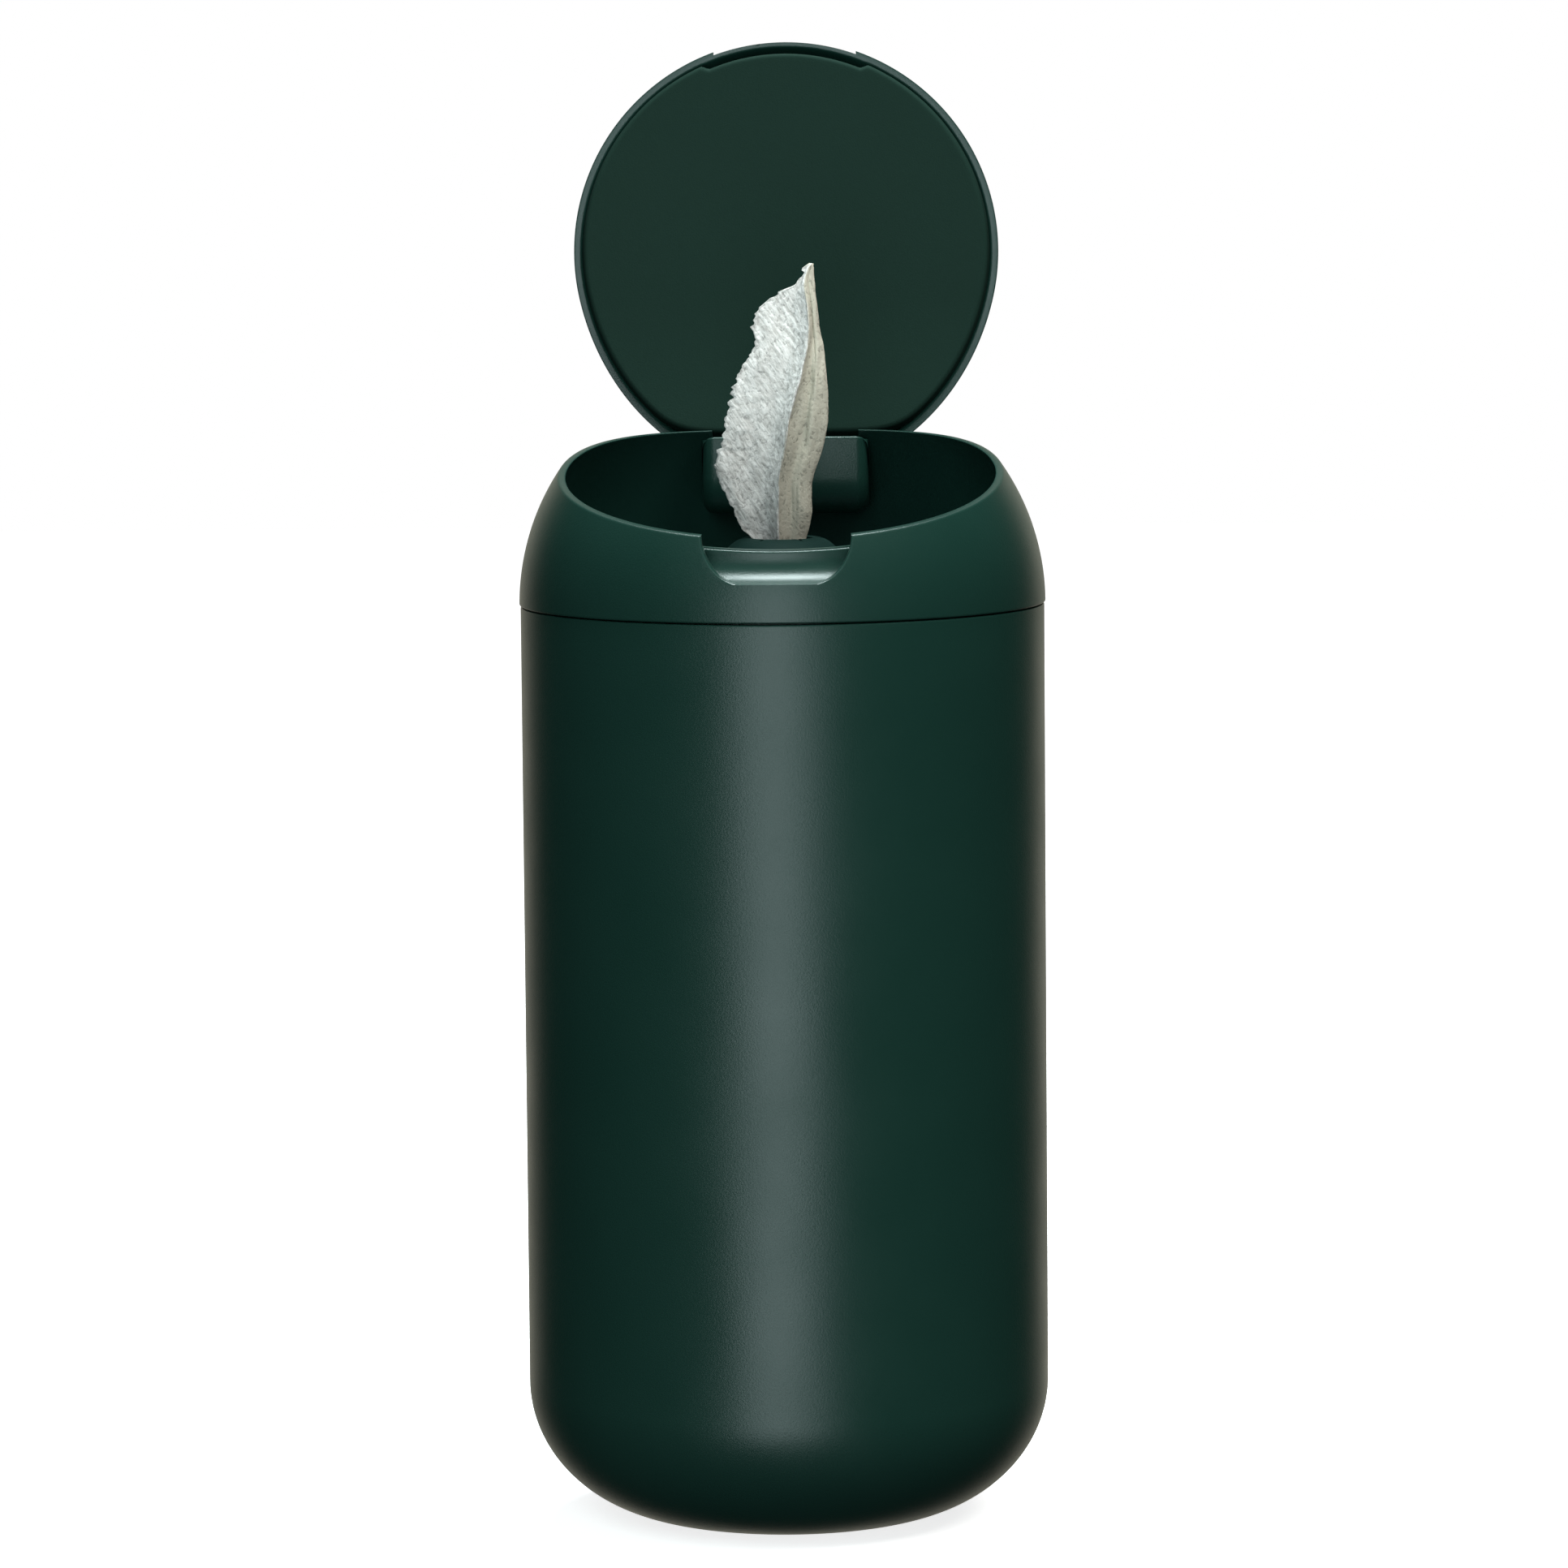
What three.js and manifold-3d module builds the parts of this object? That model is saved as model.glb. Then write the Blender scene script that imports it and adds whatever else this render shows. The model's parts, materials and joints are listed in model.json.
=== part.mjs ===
// Wipes dispenser: a round canister with a rounded bottom, a domed collar with a slanted mouth,
// a hinged lid that completes the dome, and a roll of wipes drawn up through a soft valve.
// Millimetres, +Z up, origin on the floor under the middle of the canister, finger scoop at -Y.

import * as THREE from 'three';
import { mergeVertices } from 'three/addons/utils/BufferGeometryUtils.js';
import Module from 'manifold-3d';

const wasm = await Module();
wasm.setup();

// Canister
const canisterRadius = 55;
const canisterWall = 2.2;
const seamHeight = 194;
const seamGap = 0.3;
const seamChamfer = 0.3;
const bottomRoundWidth = 32.4;
const bottomRoundHeight = 28.8;
const footPadRadius = 21.5;
const footPadThickness = 1.6;
const footPadProud = 0.8;
const footPadEdge = 0.5;

// Collar: dome, mouth and skirt
const collarProud = 0.25;
const collarWall = 1.4;
const domeArcRadius = 50.9;
const mouthRearHeight = 34.1;
const mouthTilt = 13.3;
const mouthBendLength = 35.7;
const mouthBendToHinge = 5.3;
const skirtClearance = 0.8;
const skirtWall = 2.4;
const skirtDepth = 10;
const gasketHeight = 2.4;
const gasketProud = 0.5;
const gasketThickness = 1.7;
const gasketBelowSeam = 4.3;

// Finger scoop in the front of the collar
const scoopHalfWidth = 15.2;
const scoopFloor = 8;
const scoopDepth = 6.8;
const scoopCorner = 8.5;
const scoopCornerStretch = 1.15;
const scoopFillet = 5.5;
const scoopWallDrop = 3.8;
const scoopWallThickness = 1.6;

// Dispensing plate and its valve
const plateThickness = 2;
const plateDish = 2.5;
const plateTopHeight = 3;
const plateSeatWidth = 2;
const valveRadius = 16;
const valveThickness = 1.5;
const valveRimHeight = 4;
const valveRimWidth = 2.2;
const valveCrown = 12;
const valveDomeInset = 0.4;
const valveMouthRadius = 6.4;
const valveSlitCount = 6;
const valveSlitWidth = 0.7;
const valveSlitReach = 8.6;

// Lid hinge
const hingeHeight = 24.2;
const lidOpenAngle = 106;
const barrelRadius = 5.9;
const barrelRecess = 0.23;
const knuckleHalfWidth = 15.4;
const hingeSlotAngle = 44;
const trunnionRadius = 2.2;
const trunnionLength = 1.2;
const housingHalfWidth = 17.8;
const housingWall = 1.8;
const housingDrop = 1.3;

// Lid
const lidWall = 1.4;
const lidGap = 0.4;
const linerClearance = 0.9;
const linerProud = 2.4;
const linerEdge = 1.8;
const linerRearGap = 1.8;
const linerTabInset = 1.1;
const linerTabHalfWidth = 17.2;
const tabHalfWidth = 15.4;
const tabInset = 0.6;
const tabHeight = 1.4;

// Roll of wipes and the wipe that stands out of the valve
const rollRoom = 6.8;
const rollHeadroom = 0.7;
const rollCoreRadius = 12;
const rollEdge = 1.5;
const wipeTailLength = 40;
const wipeGather = 0.75;
const wipeFoldDepth = 2.4;
const wipeHeight = 68;

// Clearance between pieces that touch, and the fineness of round forms
const clearance = 0.3;
const roundSegments = 54;
const smallSegments = 36;
const arcSteps = 9;

// Values worked out from the dimensions above
const radians = THREE.MathUtils.degToRad;
const domeCentreRadius = canisterRadius + collarProud - domeArcRadius;
const mouthSlope = Math.tan(radians(mouthTilt));
const canisterInnerRadius = canisterRadius - canisterWall;
const canisterBottom = footPadProud;
const footPadSeat = footPadThickness - footPadProud;
const skirtRadius = canisterInnerRadius - skirtClearance;
const skirtInnerRadius = skirtRadius - skirtWall;
const plateRadius = skirtInnerRadius - clearance;
const plateTop = seamHeight + plateTopHeight;
const valveSeat = plateTop - plateDish;
const valveGroove = valveRadius - valveRimWidth / 2;
const valveFlange = (valveRimHeight - plateThickness) / 2;
const valveTop = valveSeat + clearance + valveFlange + valveCrown;
const hingeZ = seamHeight + hingeHeight;
const hingeY = domeRadiusAt(hingeHeight) - barrelRecess - barrelRadius;
const barrelRoom = barrelRadius + 2 * clearance;
const housingFrontY = hingeY - barrelRoom - housingWall;
const mouthBendRear = hingeY - mouthBendToHinge;
const mouthBendFront = mouthBendRear - mouthBendLength;
const linerRearY = housingFrontY - linerRearGap;
const scoopWallRadius = domeRadiusAt(scoopFloor) - scoopDepth;
const rollRadius = canisterInnerRadius - rollRoom;
const far = 2 * canisterRadius;

// Radius of the dome at a height above the seam, or of a dome shrunk inward by an offset
function domeRadiusAt(height, offset = 0) {
  return domeCentreRadius + Math.sqrt((domeArcRadius - offset) ** 2 - height ** 2);
}

// Height of the slanted mouth at a distance y from the axis: a plane that rolls level at the back
function mouthHeight(y) {
  const rear = seamHeight + mouthRearHeight;
  if (y >= mouthBendRear) return rear;
  const along = mouthBendRear - y;
  if (y >= mouthBendFront) return rear - (mouthSlope * along ** 2) / (2 * mouthBendLength);
  return rear - mouthSlope * (along - mouthBendLength / 2);
}

// Geometry helpers

// Keeps positions only, welds the vertices and turns the faces outward
function closedGeometry(source) {
  const bare = new THREE.BufferGeometry();
  bare.setAttribute('position', source.getAttribute('position'));
  if (source.index) bare.setIndex(source.index);
  const merged = mergeVertices(bare, 1e-4);
  const index = [];
  const old = merged.index.array;
  for (let i = 0; i < old.length; i += 3) {
    const [a, b, c] = [old[i], old[i + 1], old[i + 2]];
    if (a !== b && b !== c && c !== a) index.push(a, b, c);
  }
  if (signedVolume(merged.getAttribute('position').array, index) < 0) index.reverse();
  merged.setIndex(index);
  return merged;
}

function signedVolume(position, index) {
  const a = new THREE.Vector3();
  const b = new THREE.Vector3();
  const c = new THREE.Vector3();
  let volume = 0;
  for (let i = 0; i < index.length; i += 3) {
    a.fromArray(position, 3 * index[i]);
    b.fromArray(position, 3 * index[i + 1]);
    c.fromArray(position, 3 * index[i + 2]);
    volume += a.dot(b.cross(c)) / 6;
  }
  return volume;
}

function toSolid(geometry) {
  const closed = closedGeometry(geometry);
  return new wasm.Manifold(new wasm.Mesh({
    numProp: 3,
    vertProperties: new Float32Array(closed.getAttribute('position').array),
    triVerts: new Uint32Array(closed.index.array),
  }));
}

function toGeometry(solid) {
  const mesh = solid.getMesh();
  const geometry = new THREE.BufferGeometry();
  geometry.setAttribute('position', new THREE.BufferAttribute(mesh.vertProperties, 3));
  geometry.setIndex(new THREE.BufferAttribute(mesh.triVerts, 1));
  return geometry;
}

// Revolves a profile of [radius, height] points about the upright axis
function revolve(profile, segments = roundSegments) {
  const points = profile.map(([radius, height]) => new THREE.Vector2(radius, height));
  return toSolid(new THREE.LatheGeometry(points, segments).rotateX(Math.PI / 2));
}

function closedProfile(profile) {
  return [...profile, profile[0]];
}

// Extrudes a [y, z] outline along X between two planes
function extrudeAcross(outline, fromX, toX) {
  const shape = new THREE.Shape(outline.map(([y, z]) => new THREE.Vector2(y, z)));
  const geometry = new THREE.ExtrudeGeometry(shape, { depth: toX - fromX, bevelEnabled: false });
  const turn = new THREE.Matrix4().makeBasis(
    new THREE.Vector3(0, 1, 0),
    new THREE.Vector3(0, 0, 1),
    new THREE.Vector3(1, 0, 0),
  );
  return toSolid(geometry.applyMatrix4(turn).translate(fromX, 0, 0));
}

// Extrudes a [x, z] outline along Y between two planes
function extrudeThrough(outline, fromY, toY) {
  const shape = new THREE.Shape(outline.map(([x, z]) => new THREE.Vector2(x, z)));
  const geometry = new THREE.ExtrudeGeometry(shape, { depth: toY - fromY, bevelEnabled: false });
  return toSolid(geometry.rotateX(Math.PI / 2).translate(0, toY, 0));
}

function box(fromX, toX, fromY, toY, fromZ, toZ) {
  const geometry = new THREE.BoxGeometry(toX - fromX, toY - fromY, toZ - fromZ);
  geometry.translate((fromX + toX) / 2, (fromY + toY) / 2, (fromZ + toZ) / 2);
  return toSolid(geometry);
}

// A cylinder along X through the hinge axis
function hingeCylinder(radius, fromX, toX, segments = smallSegments) {
  const geometry = new THREE.CylinderGeometry(radius, radius, toX - fromX, segments);
  geometry.rotateZ(Math.PI / 2).translate((fromX + toX) / 2, hingeY, hingeZ);
  return toSolid(geometry);
}

// Points on an arc, as [first, second] pairs; angles in degrees
function arc(centreFirst, centreSecond, radiusFirst, radiusSecond, fromAngle, toAngle, steps = arcSteps) {
  const points = [];
  for (let i = 0; i <= steps; i += 1) {
    const angle = radians(fromAngle + ((toAngle - fromAngle) * i) / steps);
    points.push([
      centreFirst + radiusFirst * Math.cos(angle),
      centreSecond + radiusSecond * Math.sin(angle),
    ]);
  }
  return points;
}

// Solid from rings with the same number of points; the first and last ring are closed by strips
// that join each point to its mirror image, so a cap may follow a surface bent along Y
function loftRings(rings) {
  const count = rings[0].length;
  const positions = rings.flat(2);
  const index = [];
  for (let r = 0; r + 1 < rings.length; r += 1) {
    for (let i = 0; i < count; i += 1) {
      const next = (i + 1) % count;
      const a = r * count + i;
      const b = r * count + next;
      index.push(a, b, b + count, a, b + count, a + count);
    }
  }
  addLadderCap(index, 0, count, true);
  addLadderCap(index, (rings.length - 1) * count, count, false);
  const geometry = new THREE.BufferGeometry();
  geometry.setAttribute('position', new THREE.Float32BufferAttribute(positions, 3));
  geometry.setIndex(index);
  return toSolid(geometry);
}

function addLadderCap(index, start, count, flip) {
  for (let i = 0; i < count / 2 - 1; i += 1) {
    const a = start + i;
    const b = start + i + 1;
    const c = start + count - 2 - i;
    const d = start + count - 1 - i;
    const quad = [a, b, c, a, c, d];
    if (flip) quad.reverse();
    index.push(...quad);
  }
}

// Dome of revolution, shrunk inward by an offset, closed down to a floor height
function domeSolid(offset, floor) {
  const radius = domeArcRadius - offset;
  const startAngle = THREE.MathUtils.radToDeg(Math.asin((floor - seamHeight) / radius));
  return revolve([
    [0, floor],
    ...arc(domeCentreRadius, seamHeight, radius, radius, startAngle, 90, 2 * arcSteps),
    [0, seamHeight + radius],
  ]);
}

// Everything below the mouth surface moved up by an offset
function belowMouth(offset) {
  const outline = [[-far, 0], [far, 0], [far, mouthHeight(far) + offset]];
  for (let i = 0; i <= arcSteps; i += 1) {
    const y = mouthBendRear - (mouthBendLength * i) / arcSteps;
    outline.push([y, mouthHeight(y) + offset]);
  }
  outline.push([-far, mouthHeight(-far) + offset]);
  return extrudeAcross(outline, -far, far);
}

// Canister

function canisterSection(inset) {
  const flatRadius = canisterRadius - bottomRoundWidth;
  const centreHeight = canisterBottom + bottomRoundHeight;
  return arc(flatRadius, centreHeight, bottomRoundWidth - inset, bottomRoundHeight - inset, -90, 0);
}

function makeCanister() {
  const top = seamHeight - seamGap / 2;
  const padSeatRadius = footPadRadius + clearance;
  return revolve([
    [0, canisterBottom + footPadSeat + clearance],
    [padSeatRadius, canisterBottom + footPadSeat + clearance],
    [padSeatRadius, canisterBottom],
    ...canisterSection(0),
    [canisterRadius, top - seamChamfer],
    [canisterRadius - seamChamfer, top],
    [canisterInnerRadius + seamChamfer, top],
    [canisterInnerRadius, top - seamChamfer],
    ...canisterSection(canisterWall).reverse(),
    [0, canisterBottom + canisterWall],
  ]);
}

function makeFootPad() {
  return revolve([
    [0, 0],
    [footPadRadius - footPadEdge, 0],
    [footPadRadius, footPadEdge],
    [footPadRadius, footPadThickness],
    [0, footPadThickness],
  ]);
}

// Roll

// Height at which a roll of this radius comes to rest on the rounded floor
function rollFloor() {
  const across = (rollRadius - (canisterRadius - bottomRoundWidth)) / (bottomRoundWidth - canisterWall);
  const drop = (bottomRoundHeight - canisterWall) * Math.sqrt(1 - across ** 2);
  return canisterBottom + bottomRoundHeight - drop + clearance;
}

function makeRoll() {
  const floor = rollFloor();
  const top = valveSeat - plateThickness - valveFlange - rollHeadroom;
  return revolve(closedProfile([
    [rollCoreRadius, floor],
    [rollRadius - rollEdge, floor],
    [rollRadius, floor + rollEdge],
    [rollRadius, top - rollEdge],
    [rollRadius - rollEdge, top],
    [rollCoreRadius + rollEdge, top],
    [rollCoreRadius, top - rollEdge],
  ]));
}

// Collar

function collarShell() {
  const bottom = seamHeight + seamGap / 2;
  const innerArc = domeArcRadius - collarWall;
  const ledgeTop = plateTop + clearance + plateThickness;
  const ledgeAngle = THREE.MathUtils.radToDeg(Math.asin((ledgeTop - seamHeight) / innerArc));
  const chamferAngle = THREE.MathUtils.radToDeg(Math.asin((seamGap / 2 + seamChamfer) / domeArcRadius));
  const grooveTop = seamHeight - gasketBelowSeam + clearance;
  const grooveBottom = grooveTop - gasketHeight - 2 * clearance;
  const grooveRadius = skirtRadius + gasketProud - gasketThickness - clearance;
  return revolve([
    [0, seamHeight + domeArcRadius],
    ...arc(domeCentreRadius, seamHeight, domeArcRadius, domeArcRadius, 90, chamferAngle, 2 * arcSteps),
    [canisterRadius + collarProud - seamChamfer, bottom],
    [skirtRadius, bottom],
    [skirtRadius, grooveTop],
    [grooveRadius, grooveTop],
    [grooveRadius, grooveBottom],
    [skirtRadius, grooveBottom],
    [skirtRadius, seamHeight - skirtDepth + seamChamfer],
    [skirtRadius - seamChamfer, seamHeight - skirtDepth],
    [skirtInnerRadius, seamHeight - skirtDepth],
    [skirtInnerRadius, plateTop + clearance],
    [skirtInnerRadius - plateSeatWidth, plateTop + clearance],
    [skirtInnerRadius - plateSeatWidth, ledgeTop],
    ...arc(domeCentreRadius, seamHeight, innerArc, innerArc, ledgeAngle, 90, arcSteps + 4),
    [0, seamHeight + innerArc],
  ]);
}

// Outline of the scoop seen from the front
function scoopFront() {
  const half = scoopHalfWidth;
  const bottom = seamHeight + scoopFloor;
  const drop = scoopCornerStretch * scoopCorner;
  return [
    [half, bottom + 4 * scoopCorner],
    [-half, bottom + 4 * scoopCorner],
    ...arc(-half + scoopCorner, bottom + drop, scoopCorner, drop, 180, 270, 8),
    ...arc(half - scoopCorner, bottom + drop, scoopCorner, drop, 270, 360, 8),
  ];
}

// Space in front of the scoop's rear wall, which runs round with the dome on a hollow fillet
function scoopDepthSpace() {
  const floor = seamHeight + scoopFloor;
  const top = seamHeight + mouthRearHeight;
  return revolve(closedProfile([
    [far, floor],
    ...arc(scoopWallRadius + scoopFillet, floor + scoopFillet, scoopFillet, scoopFillet, 270, 180, 8),
    [scoopWallRadius, top],
    [far, top],
  ]));
}

function scoopCutter() {
  return extrudeThrough(scoopFront(), -far, 0).intersect(scoopDepthSpace());
}

// The wall behind the scoop and the two beside it, a little lower than the mouth
function scoopBacking(floor) {
  const half = scoopHalfWidth + collarWall;
  const top = seamHeight + mouthRearHeight;
  const inner = scoopWallRadius - scoopWallThickness;
  return box(-half, half, -far, 0, floor, top)
    .intersect(domeSolid(collarWall / 2, floor - clearance))
    .intersect(belowMouth(-scoopWallDrop))
    .subtract(revolve([[0, 0], [inner, 0], [inner, top], [0, top]]));
}

// Housing on the rear wall that holds the lid's hinge barrel, rounded underneath like the barrel
function hingeHousing() {
  const reach = barrelRoom + housingWall;
  const top = seamHeight + mouthRearHeight - housingDrop;
  const outline = [
    [far, top],
    [housingFrontY, top],
    ...arc(hingeY, hingeZ, reach, reach, 180, 270),
    [far, hingeZ - reach],
  ];
  return extrudeAcross(outline, -housingHalfWidth, housingHalfWidth)
    .intersect(domeSolid(collarWall / 2, seamHeight));
}

// Room for the barrel, for the web that swings back over the rear wall, and for the two trunnions
function hingeRoom() {
  const half = knuckleHalfWidth + clearance;
  const top = seamHeight + 2 * mouthRearHeight;
  const bore = hingeCylinder(barrelRoom, -half, half);
  const slotFloor = hingeZ - barrelRoom * Math.sin(radians(hingeSlotAngle));
  const slot = box(-half, half, hingeY - barrelRoom, far, hingeZ, top);
  const rear = box(-half, half, hingeY, far, slotFloor, top);
  const sockets = trunnions(clearance);
  return bore.add(slot).add(rear).add(sockets);
}

function trunnions(margin) {
  const reach = knuckleHalfWidth + trunnionLength + margin;
  return hingeCylinder(trunnionRadius + margin, -reach, reach, 24);
}

function makeCollar() {
  const backingFloor = plateTop + clearance + plateThickness / 2;
  return collarShell()
    .add(hingeHousing())
    .intersect(belowMouth(0))
    .add(scoopBacking(backingFloor))
    .subtract(scoopCutter())
    .subtract(hingeRoom());
}

function makeGasket() {
  const top = seamHeight - gasketBelowSeam;
  const outer = skirtRadius + gasketProud;
  const inner = outer - gasketThickness;
  const lip = gasketHeight / 3;
  return revolve(closedProfile([
    [inner, top - gasketHeight],
    [skirtRadius - clearance, top - gasketHeight],
    [outer, top - gasketHeight + lip],
    [outer, top - lip],
    [skirtRadius - clearance, top],
    [inner, top],
  ]));
}

// Dispensing plate and valve

function makePlate() {
  const hole = valveGroove + clearance;
  const flat = valveRadius + valveRimWidth;
  return revolve(closedProfile([
    [hole, valveSeat - plateThickness],
    [flat, valveSeat - plateThickness],
    [plateRadius - plateSeatWidth, plateTop - plateThickness],
    [plateRadius, plateTop - plateThickness],
    [plateRadius, plateTop],
    [plateRadius - plateSeatWidth - clearance, plateTop],
    [flat, valveSeat],
    [hole, valveSeat],
  ]));
}

function makeValve() {
  const under = valveSeat - plateThickness - clearance;
  const over = valveSeat + clearance;
  const brim = over + valveFlange;
  const lip = valveMouthRadius + valveThickness / 2;
  const domeRadius = valveGroove - valveDomeInset;
  const innerRadius = domeRadius - valveThickness;
  const membrane = revolve(closedProfile([
    ...arc(valveMouthRadius, brim, innerRadius - valveMouthRadius, valveCrown - valveThickness, 90, 0, 5),
    [innerRadius, under - valveFlange],
    [valveRadius, under - valveFlange],
    [valveRadius, under],
    [valveGroove, under],
    [valveGroove, over],
    [valveRadius, over],
    [valveRadius - valveFlange / 2, brim],
    ...arc(lip, brim, domeRadius - lip, valveCrown, 0, 90, 6),
    [valveMouthRadius, valveTop],
  ]), smallSegments);
  let solid = membrane;
  for (let i = 0; i < valveSlitCount; i += 1) {
    const slit = new THREE.BoxGeometry(valveSlitReach, valveSlitWidth, 4 * valveRimHeight);
    slit.translate(valveSlitReach / 2, 0, valveTop).rotateZ((2 * Math.PI * i) / valveSlitCount);
    solid = solid.subtract(toSolid(slit));
  }
  return solid;
}

// Lid, modelled closed and then opened about its hinge

function makeLidShell() {
  const above = far + seamHeight;
  const edge = mouthHeight(hingeY) + lidGap;
  const cap = domeSolid(0, seamHeight)
    .subtract(domeSolid(lidWall, seamHeight))
    .subtract(belowMouth(lidGap));
  const webFront = hingeY - barrelRadius + clearance;
  const knuckle = box(-knuckleHalfWidth, knuckleHalfWidth, webFront, far, hingeZ, edge + lidWall)
    .add(hingeCylinder(barrelRadius, -knuckleHalfWidth, knuckleHalfWidth))
    .intersect(domeSolid(0, seamHeight));
  const tabRecess = domeSolid(-lidWall, seamHeight)
    .subtract(domeSolid(tabInset, seamHeight))
    .intersect(belowMouth(lidGap + tabHeight))
    .intersect(box(-tabHalfWidth, tabHalfWidth, -far, 0, 0, above));
  return cap.subtract(tabRecess).add(knuckle).add(trunnions(0));
}

// Plan outline inside the lid's wall or the mouth, from the rear round one side and back to the rear.
// The rise is the level above the mouth at which the wall is taken, the margin the room to that wall
function linerOutline(rise, margin) {
  const points = [];
  const rearY = linerRearY - margin;
  const frontY = -frontReach(rise, margin);
  const steps = 3 * arcSteps;
  for (let i = 0; i <= steps; i += 1) {
    const turn = Math.cos((Math.PI * i) / steps);
    const y = (rearY + frontY) / 2 + ((rearY - frontY) / 2) * turn;
    points.push([Math.sqrt(Math.max(linerRadius(y, rise, margin) ** 2 - y ** 2, 0.04)), y]);
  }
  const mirrored = points.map(([x, y]) => [-x, y]).reverse();
  return [...points, ...mirrored];
}

// The edge steps in a little behind the tab in the rim of the lid
function linerRadius(y, rise, margin) {
  const reach = domeRadiusAt(mouthHeight(y) - seamHeight + rise, lidWall) - margin;
  const behindTab = y < -Math.sqrt(reach ** 2 - linerTabHalfWidth ** 2);
  return behindTab ? reach - linerTabInset : reach;
}

// Distance from the axis to the liner's edge straight ahead, found by stepping inward
function frontReach(rise, margin) {
  let reach = canisterRadius;
  for (let i = 0; i < 60; i += 1) reach = linerRadius(-reach, rise, margin);
  return reach;
}

function makeLiner() {
  const seat = lidGap + lidWall;
  const rings = [linerRing(seat, clearance, seat), linerRing(lidGap, clearance, lidGap)];
  for (const [round, depth] of arc(0, 0, 1, 1, 0, 90, 4)) {
    const height = -(linerProud - linerEdge) - linerEdge * depth;
    rings.push(linerRing(0, linerClearance + linerEdge * (1 - round), height));
  }
  return loftRings(rings);
}

function linerRing(rise, margin, height) {
  return linerOutline(rise, margin).map(([x, y]) => [x, y, mouthHeight(y) + height]);
}

// Wipe: a folded leaf that narrows to a gathered tail in the core of the roll
// Each station: share of the height above the valve, left edge, right edge, half thickness
const wipeStations = [
  [0.018, -7.4, 5.2, 3.6],
  [0.101, -10.1, 6.2, 3.2],
  [0.199, -12.6, 6.4, 2.9],
  [0.283, -13.6, 7.8, 2.7],
  [0.395, -11.8, 9.4, 2.5],
  [0.517, -10.4, 9.8, 2.3],
  [0.614, -8.5, 9.5, 2.1],
  [0.72, -5.4, 8.9, 1.9],
  [0.815, -5.3, 7.9, 1.7],
  [0.913, 1.4, 7.3, 1.3],
  [1, 4.8, 6.9, 0.8],
];

function makeWipe() {
  const neck = valveTop;
  const neckRadius = valveMouthRadius - clearance;
  const top = plateTop + wipeHeight;
  const rings = [];
  for (const height of [neck - wipeTailLength, neck - wipeTailLength / 2, neck]) {
    rings.push(wipeRing(height, -neckRadius, neckRadius, neckRadius * wipeGather, 0));
  }
  for (const [share, left, right, half] of wipeStations) {
    const height = neck + share * (top - neck);
    rings.push(wipeRing(height, left, right, half, Math.min((right - left) / 6, wipeFoldDepth)));
  }
  return loftRings(rings);
}

// One level of the wipe: two panels that meet in a crease, with rounded edges
function wipeRing(height, left, right, half, foldDepth) {
  const steps = 12;
  const creaseShare = 0.55;
  const ring = [];
  for (let i = 0; i <= steps; i += 1) {
    const share = i / steps;
    const bow = foldDepth * (1 - 2 * Math.abs(share - creaseShare));
    const thick = half * Math.sqrt(Math.max(1 - (2 * share - 1) ** 4, 0.05));
    ring.push([left + (right - left) * share, -bow, thick]);
  }
  const front = ring.map(([x, y, thick]) => [x, y - thick, height]);
  const back = ring.map(([x, y, thick]) => [x, y + thick, height]).reverse();
  return [...front, ...back];
}

// Materials

function matte(colour, roughness) {
  return new THREE.MeshStandardMaterial({ color: colour, roughness, metalness: 0 });
}

const canisterGreen = '#1b3029';
const collarGreen = '#1d322c';
const innerGreen = '#132622';
const linerGreen = '#22352f';
const wipeWhite = '#ded9cf';

const group = new THREE.Group();

function addPiece(parent, name, solid, material) {
  const mesh = new THREE.Mesh(toGeometry(solid), material);
  mesh.name = name;
  parent.add(mesh);
  return mesh;
}

addPiece(group, 'canister', makeCanister(), matte(canisterGreen, 0.5));
addPiece(group, 'foot_pad', makeFootPad(), matte('#151917', 0.8));
addPiece(group, 'wipes_roll', makeRoll(), matte(wipeWhite, 0.95));
addPiece(group, 'collar', makeCollar(), matte(collarGreen, 0.45));
addPiece(group, 'collar_gasket', makeGasket(), matte('#30403a', 0.6));
addPiece(group, 'dispensing_plate', makePlate(), matte(innerGreen, 0.5));
addPiece(group, 'dispensing_valve', makeValve(), matte('#26332f', 0.65));
addPiece(group, 'wipe', makeWipe(), matte(wipeWhite, 0.95));

const lid = new THREE.Group();
lid.position.set(0, hingeY, hingeZ);
lid.rotation.x = -radians(lidOpenAngle);
for (const [name, solid, material] of [
  ['lid_shell', makeLidShell(), matte(collarGreen, 0.45)],
  ['lid_liner', makeLiner(), matte(linerGreen, 0.6)],
]) {
  addPiece(lid, name, solid, material).position.set(0, -hingeY, -hingeZ);
}
group.add(lid);

export default group;
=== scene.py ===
# %% [markdown]
# Wipes dispenser, dressed for its picture
#
# The construction comes in as a fixed frame, in metres: a canister, a domed collar, a lid that
# stands open on its hinge, and a wipe drawn up through a soft valve. This notebook gives each of
# them its finished surface. Nothing here moves or resizes the frame.

# %% Load the frame
import json
import math

import bmesh
import bpy
from mathutils import Matrix, Vector, noise


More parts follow.
